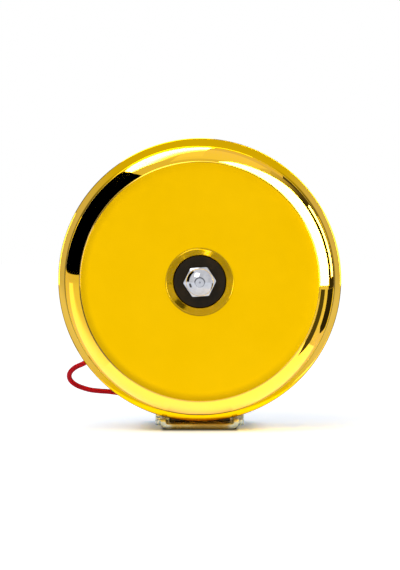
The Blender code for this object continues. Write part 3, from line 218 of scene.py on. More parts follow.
room = bpy.data.worlds.new("white_room")
scene.world = room
room.use_nodes = True
tree = room.node_tree
tree.nodes.clear()
seen = add(tree, "ShaderNodeBackground", {"Color": plain_white, "Strength": room_seen})
lighting = add(tree, "ShaderNodeBackground", {"Color": plain_white, "Strength": room_light})
choice = add(tree, "ShaderNodeMixShader", {
    "Fac": seen_directly(tree), 1: lighting.outputs["Background"], 2: seen.outputs["Background"]})
add(tree, "ShaderNodeOutputWorld", {"Surface": choice.outputs["Shader"]})

lamp_data = bpy.data.lights.new("soft_lamp", "AREA")
lamp_data.size = lamp_size
lamp_data.energy = lamp_power
lamp = bpy.data.objects.new("soft_lamp", lamp_data)
scene.collection.objects.link(lamp)
lamp.location = lamp_place
lamp.rotation_euler = (gong_middle - lamp_place).to_track_quat("-Z", "Y").to_euler()

# Reflecting cards: a tall white panel close on the right, one overhead that fades towards the front,
# white sheets on the table, and dark cards between them. The bright cards light the gong alone, and
# the dark ones show in all polished metal.
panel_x = 0.6
behind_x = 0.62
side_x = 0.7
back_y = 1.0
overhead_z = 1.0
overhead_soft_z = 1.03
sheet_z = 0.0003
low_z = 0.0005
seen_by_gong = bpy.data.collections.new("gong_alone")


def reflector(name, corners, strength, fade=None, lights_gong=True):
    """A card seen only in polished metal, which may fade along a direction.

    The fade is a direction, the places of full and of faded strength along it, and that strength.
    """
    card = flat_card(name, corners)
    card.visible_camera = False
    card.visible_diffuse = False
    card.visible_shadow = False
    face, tree = new_material(name)
    level = strength
    if fade:
        direction, full_place, faded_place, faded_strength = fade
        along = measure(tree, "DOT_PRODUCT", place_in(tree), direction)
        level = spread(tree, along, faded_place, full_place, faded_strength, strength, "SMOOTHERSTEP")
    light = add(tree, "ShaderNodeEmission", {"Strength": level}).outputs["Emission"]
    if lights_gong:
        card.light_linking.receiver_collection = seen_by_gong
        clear = add(tree, "ShaderNodeBsdfTransparent")
        light = both_of(tree, clear.outputs["BSDF"], light)
    surface(tree, light)
    card.data.materials.append(face)


panel_edge = [
    (-0.128, 0.02), (0.28, 0.02), (0.282, 0.053), (0.317, 0.333), (0.39, 0.522), (0.41, 0.653),
    (0.27, 1.09), (0.10, 2.29), (-0.30, 3.84), (-0.37, 2.29), (-0.255, 1.09), (-0.18, 0.653)]
strip_edge = [
    (0.52, 0.053), (0.54, 0.203), (0.58, 0.333), (0.63, 0.443), (0.98, 0.443), (0.90, 0.333),
    (0.84, 0.203), (0.81, 0.053)]
behind_edge = [(0.30, 0.0), (1.0, 0.0), (1.0, 0.98), (0.30, 0.98)]
behind_fade = ((0.0, 0.0, -1.0), -0.42, -0.98, 0.8)
reflector("right_panel", [(panel_x, y, z) for y, z in panel_edge], strength=36.0)
reflector("right_strip", [(panel_x, y, z) for y, z in strip_edge], strength=16.0)
reflector("right_behind_dark", [(behind_x, y, z) for y, z in behind_edge], strength=0.05,
          fade=behind_fade, lights_gong=False)
overhead_edge = [
    (-0.40, 0.30), (-0.55, 0.42), (-0.65, 0.54), (-0.70, 0.74), (-0.70, 1.25), (-0.62, 1.75),
    (-0.48, 2.10), (0.12, 2.10), (0.02, 0.14), (-0.20, 0.16)]
overhead_fade = ((-1.2, 1.0, 0.0), 1.15, 0.5, 0.1)
overhead_soft_edge = [
    (-0.25, 0.0), (0.17, 0.0), (0.26, 0.05), (0.36, 0.12), (0.50, 0.21), (0.62, 0.9), (0.0, 0.9)]
reflector("overhead_panel", [(x, y, overhead_z) for x, y in overhead_edge], strength=28.0,
          fade=overhead_fade)
reflector("overhead_soft", [(x, y, overhead_soft_z) for x, y in overhead_soft_edge], strength=0.25)
sheet_edge = [
    (-0.058, -0.04), (0.09, -0.04), (0.09, 0.04), (0.053, 0.017), (0.03, 0.005), (0.0, -0.006),
    (-0.03, 0.005), (-0.058, 0.02)]
side_sheet_edge = [(-1.4, -0.33), (-0.058, -0.04), (-0.058, 0.02), (-0.10, 0.05), (-1.4, 1.0)]
side_sheet_fade = ((0.35, 1.0, 0.0), -0.02, -0.08, 0.0)
reflector("table_sheet", [(x, y, sheet_z) for x, y in sheet_edge], strength=0.95)
reflector("table_side_sheet", [(x, y, sheet_z) for x, y in side_sheet_edge], strength=0.9,
          fade=side_sheet_fade)
side_edge = [(-1.2, 0.0), (-0.54, 0.0), (-0.54, 0.40), (-1.2, 0.40)]
for side, word in ((-1, "left"), (1, "right")):
    reflector("front_panel_" + word, [(side * side_x, y, z) for y, z in side_edge], strength=8.0)
right_front_edge = [
    (-0.20, 0.06), (-0.36, 0.06), (-0.42, 0.333), (-0.52, 0.653), (-0.306, 0.653), (-0.245, 0.333)]
left_front_edge = [
    (-0.24, 0.27), (-0.40, 0.27), (-0.48, 0.556), (-0.72, 1.09), (-0.42, 1.09), (-0.285, 0.556)]
overhead_front_edge = [(-0.55, -0.62), (0.42, -0.62), (0.42, -0.28), (-0.55, -0.28)]
reflector("right_front_panel", [(panel_x, y, z) for y, z in right_front_edge], strength=2.0)
reflector("left_front_panel", [(-panel_x, y, z) for y, z in left_front_edge], strength=1.4)
reflector("overhead_front_panel", [(x, y, overhead_z) for x, y in overhead_front_edge], strength=3.2)
left_edge = [(-0.20, 0.072), (2.5, 0.072), (2.5, 0.75), (0.3, 1.0), (-0.20, 1.135)]
back_edge = [(0.3, 0.0), (1.6, 0.0), (1.6, 1.2), (0.95, 1.18), (0.3, 0.41)]
reflector("left_black", [(-panel_x, y, z) for y, z in left_edge], strength=0.0, lights_gong=False)
reflector("back_dark", [(x, back_y, z) for x, z in back_edge], strength=0.1, lights_gong=False)
low_left_edge = [
    (-0.085, -0.06), (-0.085, -0.085), (-0.14, -0.115), (-0.42, -0.25), (-0.42, -0.13), (-0.14, -0.066)]
low_right_edge = [
    (0.045, -0.05), (0.05, -0.066), (0.15, -0.115), (0.32, -0.20), (0.32, -0.13), (0.15, -0.075)]
low_side_edge = [
    (0.068, -0.019), (0.092, -0.026), (0.199, -0.031), (0.608, -0.052), (0.608, 0.111), (0.199, 0.018),
    (0.092, -0.005)]
low_back_edge = [
    (0.115, 0.045), (0.132, 0.031), (0.199, 0.061), (0.608, 0.25), (0.608, 0.976), (0.199, 0.274),
    (0.132, 0.164)]
reflector("low_dark_left", [(x, y, low_z) for x, y in low_left_edge], strength=0.15, lights_gong=False)
reflector("low_white_right", [(x, y, low_z) for x, y in low_right_edge], strength=2.2)
reflector("low_dark_side", [(x, y, low_z) for x, y in low_side_edge], strength=0.1, lights_gong=False)
reflector("low_dark_back", [(x, y, low_z) for x, y in low_back_edge], strength=0.03, lights_gong=False)

# Base plate: one pressed steel sheet, zinc plated and yellow passivated. It is cut flat and
# drilled, the sides of its tongue are turned up, and the tongue is bent forward into the foot.
wall_y = plate_high.y
axis_height = gong_middle.z / MM
plate_top = plate_high.z / MM
plate_half = plate_high.x / MM
foot_length = (plate_high.y - plate_low.y) / MM
plate_thick = 1.8
plate_bend = 3.0
plate_edge = 0.25
plate_bottom = 20.0
tongue_half = 16.25
root_length = 15.0
relief = 0.5
side_bend = 2.6
side_fold = 11.4
side_height = 3.29
wall_screw_spots = [(x, z) for z in (82.0, 46.0) for x in (-25.0, 25.0)]
bracket_screw_spots = [(-7.0, 8.5), (3.0, 8.5)]
bush_spot = (-18.0, 73.2)
pillar_screw_spot = (27.0, 25.0)
anchor_spot = (30.8, 39.8)
earth_screw_spot = (20.0, 67.2)
block_screw_depth = 18.0
post_bore = 3.3
wall_screw_bore = 2.25
bush_seat = 4.3
anchor_bore = 1.5
screw_bore = 1.8
ARC_STEPS = 10
HOLE_STEPS = 32
EDGE_STEPS = 2
CUT_GAP = 0.001
WELD_GAP = 0.002
sharp_angle = math.radians(40.0)
RIGHT = Vector((1.0, 0.0, 0.0))
FRONT = Vector((0.0, -1.0, 0.0))
UP = Vector((0.0, 0.0, 1.0))


def at(across, depth, height):
    """A place in metres from millimetres across, in front of the wall, and above the table."""
    return Vector((across * MM, wall_y - depth * MM, height * MM))


def rounded(corners, closed=True):
    """Points of a line through (x, y, radius) corners, each corner rounded to its radius."""
    points = []
    count = len(corners)
    for index, (x, y, radius) in enumerate(corners):
        here = Vector((x, y))
        if radius == 0.0 or (not closed and index in (0, count - 1)):
            points.append(here)
            continue
        before = (Vector(corners[index - 1][:2]) - here).normalized()
        after = (Vector(corners[(index + 1) % count][:2]) - here).normalized()
        half = before.angle(after) / 2
        start = here + before * (radius / math.tan(half))
        stop = here + after * (radius / math.tan(half))
        middle = here + (before + after).normalized() * (radius / math.sin(half))
        turn = (start - middle).angle_signed(stop - middle)
        for step in range(ARC_STEPS + 1):
            spoke = start - middle
            spoke.rotate(Matrix.Rotation(-turn * step / ARC_STEPS, 2))
            points.append(middle + spoke)
    return points


def circle(x, y, radius, steps=HOLE_STEPS):
    """Points round a hole."""
    turns = [math.tau * step / steps for step in range(steps)]
    return [Vector((x + radius * math.cos(turn), y + radius * math.sin(turn))) for turn in turns]


def taken_from(former):
    """The plain mesh of what an object has been formed to; the object itself goes."""
    bpy.context.view_layer.update()
    mesh = bpy.data.meshes.new_from_object(former.evaluated_get(bpy.context.evaluated_depsgraph_get()))
    former.modifiers.clear()
    bpy.data.objects.remove(former)
    return mesh


def blank(lines, thick, edge):
    """A flat sheet, in millimetres, cut to its outline and holes, with eased edges."""
    curve = bpy.data.curves.new("blank", "CURVE")
    curve.dimensions = "2D"
    curve.fill_mode = "BOTH"
    curve.extrude = thick / 2 - edge
    curve.bevel_depth = edge
    curve.bevel_resolution = EDGE_STEPS
    curve.offset = -edge
    for line in lines:
        spline = curve.splines.new("POLY")
        spline.points.add(len(line) - 1)
        for point, place in zip(spline.points, line):
            point.co = (place[0], place[1], 0.0, 1.0)
        spline.use_cyclic_u = True
    former = bpy.data.objects.new("blank", curve)
    scene.collection.objects.link(former)
    mesh = taken_from(former)
    bpy.data.curves.remove(curve)
    mesh.transform(Matrix.Translation((0.0, 0.0, thick / 2)))
    return mesh


def fold_reach(outer_radius, thick):
    """Length of sheet that a right angle fold takes up."""
    return (outer_radius - thick / 2) * math.pi / 2


def cut_across(bm, along):
    """Cuts a mesh across, where its second coordinate is along."""
    everything = bm.verts[:] + bm.edges[:] + bm.faces[:]
    bmesh.ops.bisect_plane(bm, geom=everything, dist=CUT_GAP, plane_co=(0.0, along, 0.0),
                           plane_no=(0.0, 1.0, 0.0))


def fold(mesh, start, outer_radius, thick, beside=-math.inf):
    """Bends a blank up along the line where its second coordinate is start, past a first coordinate."""
    reach = fold_reach(outer_radius, thick)
    bm = bmesh.new()
    bm.from_mesh(mesh)
    bmesh.ops.remove_doubles(bm, verts=bm.verts, dist=WELD_GAP)
    for step in range(ARC_STEPS + 1):
        cut_across(bm, start + reach * step / ARC_STEPS)
    for vert in bm.verts:
        past = vert.co.y - start
        radius = outer_radius - vert.co.z
        if vert.co.x < beside or past <= 0.0:
            continue
        if past >= reach:
            vert.co.y = start + radius
            vert.co.z = outer_radius + past - reach
        else:
            angle = math.pi / 2 * past / reach
            vert.co.y = start + radius * math.sin(angle)
            vert.co.z = outer_radius - radius * math.cos(angle)
    bm.to_mesh(mesh)
    bm.free()


def lay(mesh, across, along, up, place):
    """Lays a piece made in millimetres along three directions of the bell, from a place."""
    turn = Matrix((across, along, up)).transposed().to_4x4()
    mesh.transform(Matrix.Translation(place) @ turn @ Matrix.Scale(MM, 4))
    return mesh


def joined(meshes):
    """Several meshes as one."""
    bm = bmesh.new()
    for mesh in meshes:
        bm.from_mesh(mesh)
    whole = bpy.data.meshes.new("joined")
    bm.to_mesh(whole)
    bm.free()
    return whole


def fit(name, mesh, finish, node, body="frame"):
    """A finished piece in the place of its plain solid, its faces outward and its real edges sharp."""
    bm = bmesh.new()
    bm.from_mesh(mesh)
    bmesh.ops.remove_doubles(bm, verts=bm.verts, dist=WELD_GAP * MM)
    bmesh.ops.dissolve_degenerate(bm, edges=bm.edges, dist=CUT_GAP * MM)
    bmesh.ops.recalc_face_normals(bm, faces=bm.faces)
    bm.to_mesh(mesh)
    bm.free()
    mesh.name = name
    mesh.materials.clear()
    mesh.materials.append(finish)
    mesh.shade_smooth()
    mesh.set_sharp_from_angle(angle=sharp_angle)
    piece = bpy.data.objects.new(name, mesh)
    scene.collection.objects.link(piece)
    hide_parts(node)
    if body:
        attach(piece, body)
    return piece


fold_start = plate_top - plate_bend
fold_end = fold_start + fold_reach(plate_bend, plate_thick)
side_half = side_fold + fold_reach(side_bend, plate_thick) + side_height - side_bend


def on_foot(depth):
    """Place on the flat blank of a depth in front of the wall, along the foot."""
    return fold_end + depth - plate_bend


half_outline = [
    (plate_half, 0.0, 8.0),
    (plate_half, plate_top - plate_bottom, 3.0),
    (tongue_half, plate_top - plate_bottom, 4.0),
    (tongue_half, on_foot(root_length), 2.0),
    (side_fold, on_foot(root_length), 0.2),
    (side_fold, on_foot(root_length + relief), 0.2),
    (side_half, on_foot(root_length + relief), 0.6),
    (side_half, on_foot(foot_length), 0.9),
]
plate_outline = half_outline + [(-x, y, radius) for x, y, radius in reversed(half_outline)]
plate_holes = [(0.0, axis_height, post_bore)]
plate_holes += [(*spot, wall_screw_bore) for spot in wall_screw_spots]
plate_holes += [(*spot, screw_bore) for spot in bracket_screw_spots]
plate_holes += [(*bush_spot, bush_seat), (*pillar_screw_spot, screw_bore), (*anchor_spot, anchor_bore),
                (*earth_screw_spot, screw_bore)]
plate_lines = [rounded(plate_outline)]
plate_lines += [circle(-x, plate_top - z, radius) for x, z, radius in plate_holes]
plate_lines.append(circle(0.0, on_foot(block_screw_depth), screw_bore))
plate_mesh = blank(plate_lines, plate_thick, plate_edge)
for side in (1.0, -1.0):
    aside = Matrix(((0.0, 1.0, 0.0), (side, 0.0, 0.0), (0.0, 0.0, 1.0))).to_4x4()
    plate_mesh.transform(aside)
    fold(plate_mesh, side_fold, side_bend, plate_thick, on_foot(root_length + relief / 2))
    plate_mesh.transform(aside.inverted())
fold(plate_mesh, fold_start, plate_bend, plate_thick)
lay(plate_mesh, -RIGHT, -UP, FRONT, at(0.0, 0.0, plate_top))


def node_group(name, kind, inputs, outputs):
    """An empty node group with named sockets, and its two end nodes."""
    group = bpy.data.node_groups.new(name, kind)
    for way, sockets in (("INPUT", inputs), ("OUTPUT", outputs)):
        for socket, sort in sockets:
            group.interface.new_socket(socket, in_out=way, socket_type=sort)
    return group, group.nodes.new("NodeGroupInput"), group.nodes.new("NodeGroupOutput")


def noise(tree, place, scale, detail=4.0):
    """Smooth three dimensional noise."""
    sockets = {"Vector": place, "Scale": scale, "Detail": detail}
    return add(tree, "ShaderNodeTexNoise", sockets).outputs["Fac"]


def colours(tree, value, stops, middle=0.5):
    """A run of colours along a value from none to one."""
    ramp = add(tree, "ShaderNodeValToRGB", {"Fac": value})
    elements = ramp.color_ramp.elements
    while len(elements) < len(stops):
        elements.new(middle)
    for element, (place, colour) in zip(elements, stops):
        element.position = place
        element.color = (*colour, 1.0)
    return ramp.outputs["Color"]


def relief_normal(tree, height, strength, distance):
    """A bumped normal from a height."""
    sockets = {"Height": height, "Strength": strength, "Distance": distance * MM}
    return add(tree, "ShaderNodeBump", sockets).outputs["Normal"]


scratch_stretch = (1.0, 0.06, 0.35)
scratch_turn = (0.4, 0.7, 0.3)
marks, marks_in, marks_out = node_group(
    "handling_marks", "ShaderNodeTree",
    [("Vector", "NodeSocketVector"), ("Scratch Scale", "NodeSocketFloat"),
     ("Smear Scale", "NodeSocketFloat")],
    [("Scratch", "NodeSocketFloat"), ("Smear", "NodeSocketFloat")])
stretched = add(marks, "ShaderNodeMapping", {
    "Vector": marks_in.outputs["Vector"], "Scale": scratch_stretch, "Rotation": scratch_turn})
hairs = noise(marks, stretched.outputs["Vector"], marks_in.outputs["Scratch Scale"], detail=2.0)
smears = noise(marks, marks_in.outputs["Vector"], marks_in.outputs["Smear Scale"])
marks.links.new(spread(marks, hairs, 0.45, 0.75, 0.0, 1.0), marks_out.inputs["Scratch"])
marks.links.new(spread(marks, smears, 0.35, 0.65, 0.0, 1.0), marks_out.inputs["Smear"])


def marks_on(tree, place, scratch_scale, smear_scale):
    """The handling marks with their own scales."""
    sockets = {"Vector": place, "Scratch Scale": scratch_scale, "Smear Scale": smear_scale}
    return add(tree, "ShaderNodeGroup", sockets, node_tree=marks).outputs


def coat(tree, inputs):
    """Ends a finish with a surface of its colour, roughness and relief."""
    surface(tree, add(tree, "ShaderNodeBsdfPrincipled", inputs).outputs["BSDF"])


def finish_of(name, stops, smooth, rough, mottle_scale, grain, metallic, scratch_scale=900.0):
    """A plain finish: mottled colour, roughness from smears, and a fine grain of scratches."""
    material, tree = new_material(name)
    place = place_in(tree)
    handled = marks_on(tree, place, scratch_scale, mottle_scale)
    coat(tree, {
        "Metallic": metallic,
        "Base Color": colours(tree, noise(tree, place, mottle_scale, detail=5.0), stops),
        "Roughness": spread(tree, handled["Smear"], 0.0, 1.0, smooth, rough),
        "Normal": relief_normal(tree, handled["Scratch"], grain, distance=0.05)})
    return material


def tint(finish, share, colour):
    """Lays a colour over a plain finish by a share."""
    tree = finish.node_tree
    base = tree.nodes["Principled BSDF"].inputs["Base Color"]
    tree.links.new(blended(tree, share, base.links[0].from_socket, colour), base)


yellow_zinc = finish_of("yellow_passivated_zinc", [
    (0.30, (0.57, 0.47, 0.17)), (0.42, (0.55, 0.40, 0.10)), (0.52, (0.51, 0.35, 0.075)),
    (0.62, (0.45, 0.31, 0.065)), (0.74, (0.55, 0.42, 0.13))],
    smooth=0.24, rough=0.4, mottle_scale=150.0, grain=0.2, metallic=0.6)
# Painted highlight: the turned-up sides of the foot, low down, are tinted pale where their bends catch the
# light.
painted_bend_highlight = (0.72, 0.78, 0.68, 1.0)
bend_highlight_start = 9.4 * MM
bend_highlight_end = 11.6 * MM
bend_highlight_low = 4.0 * MM
bend_highlight_high = 9.0 * MM
tree = yellow_zinc.node_tree
parts = add(tree, "ShaderNodeSeparateXYZ", {"Vector": place_in(tree)}).outputs
on_bends = spread(tree, combined(tree, "ABSOLUTE", parts["X"]), bend_highlight_start, bend_highlight_end, 0.0, 1.0)
low_on_bends = spread(tree, parts["Z"], bend_highlight_low, bend_highlight_high, 1.0, 0.0)
tint(yellow_zinc, combined(tree, "MULTIPLY", on_bends, low_on_bends), painted_bend_highlight)
fit("base_plate_sheet", plate_mesh, yellow_zinc, "base_plate")

# Cable bush: a moulded rubber bush pushed into the plate from the front, so that the supply cable
# from the wall doesn't rub on the sheet.
seat = 0.3
bush_bore = 2.5
bush_barrel = 4.0
bush_flange = 6.0
bush_tail = 1.8
bush_length = 3.0
spindle = 1.0


def geometry_tree(name, inputs):
    """An empty geometry node tree that takes a drawn line, its named sizes and a finish."""
    sockets = [("Drawn Line", "NodeSocketGeometry"), *inputs, ("Finish", "NodeSocketMaterial")]
    tree, given, made = node_group(name, "GeometryNodeTree", sockets, [("Piece", "NodeSocketGeometry")])
    return tree, given.outputs, made.inputs


def end_tree(tree, given, made, shape):
    """Closes a tree: real geometry with its finish set."""
    real = add(tree, "GeometryNodeRealizeInstances", {"Geometry": shape})
    coated = add(tree, "GeometryNodeSetMaterial", {
        "Geometry": real.outputs["Geometry"], "Material": given["Finish"]})
    tree.links.new(coated.outputs["Geometry"], made["Piece"])


def grown(tree, points, closed, values):
    """The plain mesh that a tree makes from a drawn line of points."""
    edges = [(index, index + 1) for index in range(len(points) - 1)]
    if closed:
        edges.append((len(points) - 1, 0))
    line = bpy.data.meshes.new("drawn_line")
    line.from_pydata([tuple(point) for point in points], edges, [])
    former = bpy.data.objects.new("former", line)
    scene.collection.objects.link(former)
    modifier = former.modifiers.new("grown", "NODES")
    modifier.node_group = tree
    sockets = {item.name: item.identifier for item in tree.interface.items_tree if item.in_out == "INPUT"}
    for socket, value in values.items():
        modifier[sockets[socket]] = value
    mesh = taken_from(former)
    bpy.data.meshes.remove(line)
    return mesh


turning_tree, given, made = geometry_tree("turned_piece", [
    ("Segments", "NodeSocketInt"), ("Spindle", "NodeSocketFloat")])
section = add(turning_tree, "GeometryNodeMeshToCurve", {"Mesh": given["Drawn Line"]})
round_path = add(turning_tree, "GeometryNodeCurvePrimitiveCircle", {
    "Resolution": given["Segments"], "Radius": given["Spindle"]})
upright = add(turning_tree, "GeometryNodeSetCurveNormal", {"Curve": round_path.outputs["Curve"]}, mode="Z_UP")
swept = add(turning_tree, "GeometryNodeCurveToMesh", {
    "Curve": upright.outputs["Curve"], "Profile Curve": section.outputs["Curve"]})
closed_poles = add(turning_tree, "GeometryNodeMergeByDistance", {
    "Geometry": swept.outputs["Mesh"], "Distance": WELD_GAP})
end_tree(turning_tree, given, made, closed_poles.outputs["Geometry"])


def along_axis(mesh, place, direction):
    """Lays a piece with its axis along a direction of the bell, from a place."""
    across = UP if abs(direction.x) > 0.5 else RIGHT
    if abs(direction.dot(across)) > 0.1:
        across = FRONT
    return lay(mesh, across, direction.cross(across), direction, place)


def turned(profile, place, direction, finish, closed=False, segments=64):
    """A turned piece from (radius, height) points in millimetres, its axis along a direction."""
    points = [(radius - spindle, -height, 0.0) for radius, height in profile]
    values = {"Segments": segments, "Spindle": spindle, "Finish": finish}
    return along_axis(grown(turning_tree, points, closed, values), place, direction)


rubber = finish_of("black_rubber", [(0.3, (0.016, 0.016, 0.017)), (0.7, (0.028, 0.028, 0.030))],
                   smooth=0.5, rough=0.68, mottle_scale=320.0, grain=0.4, metallic=0.0)
bush_profile = rounded([
    (bush_bore, 0.0, 0.4), (bush_barrel, 0.0, 0.3), (bush_barrel, bush_tail - seat, 0.0),
    (bush_flange, bush_tail - seat, 0.3), (bush_flange, bush_length, 0.5), (bush_bore, bush_length, 0.6)])
bush_mesh = turned(bush_profile, at(bush_spot[0], seat, bush_spot[1]), FRONT, rubber, closed=True)
fit("cable_bush_moulding", bush_mesh, rubber, "cable_bush")

# Gong post: a turned steel pillar riveted through the plate, with a threaded stud for the gong.
# It is zinc plated, as the screws are.
post_low, post_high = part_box("gong_post")
post_tenon = 3.0
post_radius = 4.5
stud_radius = 3.0
stud_pitch = 1.0
stud_groove = 0.4
tenon_length = 1.8 - seat
shoulder_height = 50.9
post_length = (post_high.y - post_low.y) / MM
post_ease = 0.4


def thread(radius, start, stop, pitch, groove):
    """The crests and grooves of a screw thread along a turned profile."""
    points = []
    for turn in range(int((stop - start) / pitch)):
        points.append((radius - groove, start + turn * pitch))
        points.append((radius, start + (turn + 0.5) * pitch))
    return points


bright_zinc = finish_of("bright_zinc", [
    (0.35, (0.70, 0.72, 0.74)), (0.60, (0.80, 0.80, 0.79)), (0.80, (0.66, 0.66, 0.64))],
    smooth=0.10, rough=0.22, mottle_scale=420.0, grain=0.08, metallic=1.0)
post_profile = [
    (0.0, 0.0), (post_tenon - post_ease, 0.0), (post_tenon, post_ease), (post_tenon, tenon_length),
    (post_radius - post_ease, tenon_length), (post_radius, tenon_length + post_ease),
    (post_radius, shoulder_height - post_ease), (post_radius - post_ease, shoulder_height)]
post_profile += thread(stud_radius, shoulder_height + stud_pitch, post_length - stud_pitch, stud_pitch,
                       stud_groove)
post_profile += [(stud_radius - 2 * stud_groove, post_length), (0.0, post_length)]
post_mesh = turned(post_profile, at(0.0, seat, axis_height), FRONT, bright_zinc)
fit("gong_post_turned", post_mesh, bright_zinc, "gong_post")

# Magnet bracket: a strip of zinc plated steel bent square. Its foot is screwed to the plate and its
# shelf carries the yoke of the magnet.
bracket_thick = 1.8
bracket_bend = 2.8
bracket_half = 10.0
bracket_middle = -2.0
bracket_low = 4.5
bracket_back = 1.8
bracket_fold = 8.4
shelf_front = 20.0
bracket_round = 1.2
bracket_edge = 0.2
shelf_fold_end = bracket_fold + fold_reach(bracket_bend, bracket_thick)


def on_shelf(depth):
    """Place on the bracket's blank of a depth in front of the wall."""
    return shelf_fold_end + depth - bracket_back - bracket_bend


def strip(half, length, start_round, end_round):
    """Outline of a straight strip, its corners rounded at each end."""
    return rounded([(-half, 0.0, start_round), (half, 0.0, start_round), (half, length, end_round),
                    (-half, length, end_round)])


bracket_lines = [strip(bracket_half, on_shelf(shelf_front), bracket_round, bracket_round)]
bracket_holes = [(-5.0, 4.0), (5.0, 4.0), (-6.5, on_shelf(12.5)), (6.5, on_shelf(12.5))]
bracket_lines += [circle(x, y, screw_bore) for x, y in bracket_holes]
bracket_mesh = blank(bracket_lines, bracket_thick, bracket_edge)
fold(bracket_mesh, bracket_fold, bracket_bend, bracket_thick)
lay(bracket_mesh, RIGHT, UP, FRONT, at(bracket_middle, bracket_back, bracket_low))
fit("magnet_bracket_strip", bracket_mesh, bright_zinc, "magnet_bracket")

# Screws: small pan heads with a sawn slot, turned and threaded. The plated steel ones hold the
# movement together, and the brass ones clamp the wires.
shank_radius = 1.5
screw_head_radius = 2.6
screw_head_height = 1.5
screw_crown = 0.8
screw_pitch = 0.5
screw_groove = 0.22
slot_width = 0.8
slot_depth = 0.7
head_ease = 0.1
crown_flat = 1.0
crown_pull = (screw_head_radius - 0.15, 0.05)
crown_steps = 6
screw_segments = 40
screw_tree, given, made = geometry_tree("slotted_screw", [
    ("Segments", "NodeSocketInt"), ("Spindle", "NodeSocketFloat"), ("Slot Size", "NodeSocketVector"),
    ("Slot Place", "NodeSocketVector")])
passed_on = {socket: given[socket] for socket in ("Drawn Line", "Segments", "Spindle", "Finish")}
screw_body = add(screw_tree, "GeometryNodeGroup", passed_on, node_tree=turning_tree)
saw = add(screw_tree, "GeometryNodeMeshCube", {"Size": given["Slot Size"]})
saw_place = add(screw_tree, "GeometryNodeTransform", {
    "Geometry": saw.outputs["Mesh"], "Translation": given["Slot Place"]})
saw_cut = add(screw_tree, "GeometryNodeMeshBoolean", {
    "Mesh 1": screw_body.outputs["Piece"], "Mesh 2": saw_place.outputs["Geometry"]}, operation="DIFFERENCE")
end_tree(screw_tree, given, made, saw_cut.outputs["Mesh"])


def bow(one, control, two, steps):
    """Points of a bow from one place to another, pulled to a control place."""
    points = []
    for step in range(1, steps + 1):
        s = step / steps
        pulls = list(zip(((1 - s) ** 2, 2 * s * (1 - s), s * s), (one, control, two)))
        points.append(tuple(sum(pull * place[axis] for pull, place in pulls) for axis in (0, 1)))
    return points


def screw(node, direction, finish, body="frame", sink=seat):
    """A slotted screw in the place of its plain solid, its head pointing along a direction."""
    low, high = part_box(node)
    length = abs((high - low).dot(direction)) / MM
    neck = length - screw_head_height - sink
    side_top = (screw_head_radius, length - screw_crown)
    crown_control = (crown_pull[0], length - crown_pull[1])
    profile = [(0.0, 0.0), (shank_radius - screw_groove, 0.0)]
    profile += thread(shank_radius, screw_pitch, neck, screw_pitch, screw_groove)
    profile += [(shank_radius, neck), (screw_head_radius - head_ease, neck)]
    profile += [(screw_head_radius, neck + head_ease), side_top]
    profile += bow(side_top, crown_control, (screw_head_radius - crown_flat, length), crown_steps)
    profile.append((0.0, length))
    points = [(radius - spindle, -height, 0.0) for radius, height in profile]
    mesh = grown(screw_tree, points, False, {
        "Segments": screw_segments, "Spindle": spindle, "Finish": finish,
        "Slot Size": (3 * screw_head_radius, slot_width, 2 * slot_depth), "Slot Place": (0.0, 0.0, length)})
    along_axis(mesh, (low + high) / 2 - direction * (length * MM / 2), direction)
    return fit(node + "_slotted", mesh, finish, node, body)


brass = finish_of("plain_brass", [
    (0.30, (0.70, 0.48, 0.18)), (0.60, (0.78, 0.56, 0.24)), (0.80, (0.60, 0.39, 0.14))],
    smooth=0.18, rough=0.34, mottle_scale=300.0, grain=0.15, metallic=1.0)
steel_screws = (
    ("bracket_screw_left", FRONT), ("bracket_screw_right", FRONT), ("yoke_screw_left", -UP),
    ("yoke_screw_right", -UP), ("core_screw", -RIGHT), ("pillar_screw", FRONT), ("terminal_block_screw", UP))
for node, direction in steel_screws:
    screw(node, direction, bright_zinc)
for node in ("earth_screw", "terminal_screw_left", "terminal_screw_right"):
    screw(node, FRONT, brass)
screw("blade_screw", RIGHT, bright_zinc, "hammer", 2 * seat)

# Yoke: a bar of soft iron bent into an L. One leg takes the end of the magnet's core, and two ears
# welded to the other carry the pivot of the armature.
yoke_thick = 2.5
yoke_bend = 2.9
yoke_half = 5.0
yoke_left = -23.2
yoke_right = 11.8
yoke_top = 35.0
yoke_fold = 16.1
yoke_fold_end = yoke_fold + fold_reach(yoke_bend, yoke_thick)
yoke_middle = 15.0
coil_height = 29.2
pivot_across = 14.8
pivot_height = 17.25
knuckle = 2.4
knuckle_round = 2.35
ear_thick = 1.8
ear_root = 9.8
pin_bore = 1.3
bar_edge = 0.2
ear_edge = 0.15


def on_yoke(across):
    """Place on the yoke's blank of a distance to the right of the bell's middle."""
    return yoke_fold_end + across - yoke_left - yoke_bend


iron = finish_of("soft_iron", [
    (0.30, (0.30, 0.30, 0.31)), (0.55, (0.40, 0.395, 0.39)), (0.75, (0.27, 0.255, 0.24))],
    smooth=0.34, rough=0.5, mottle_scale=180.0, grain=0.3, metallic=1.0)
yoke_lines = [strip(yoke_half, on_yoke(yoke_right), start_round=1.2, end_round=0.4)]
yoke_holes = [(0.0, yoke_top - coil_height), (-2.5, on_yoke(-8.5)), (-2.5, on_yoke(4.5))]
yoke_lines += [circle(x, y, screw_bore) for x, y in yoke_holes]
yoke_bar = blank(yoke_lines, yoke_thick, bar_edge)
fold(yoke_bar, yoke_fold, yoke_bend, yoke_thick)
lay(yoke_bar, FRONT, -UP, RIGHT, at(yoke_left, yoke_middle, yoke_top))
ear_outline = [
    (ear_root, pivot_height - knuckle, 0.0),
    (pivot_across + knuckle, pivot_height - knuckle, knuckle_round),
    (pivot_across + knuckle, pivot_height + knuckle, knuckle_round),
    (ear_root, pivot_height + knuckle, 0.0)]
yoke_parts = [yoke_bar]
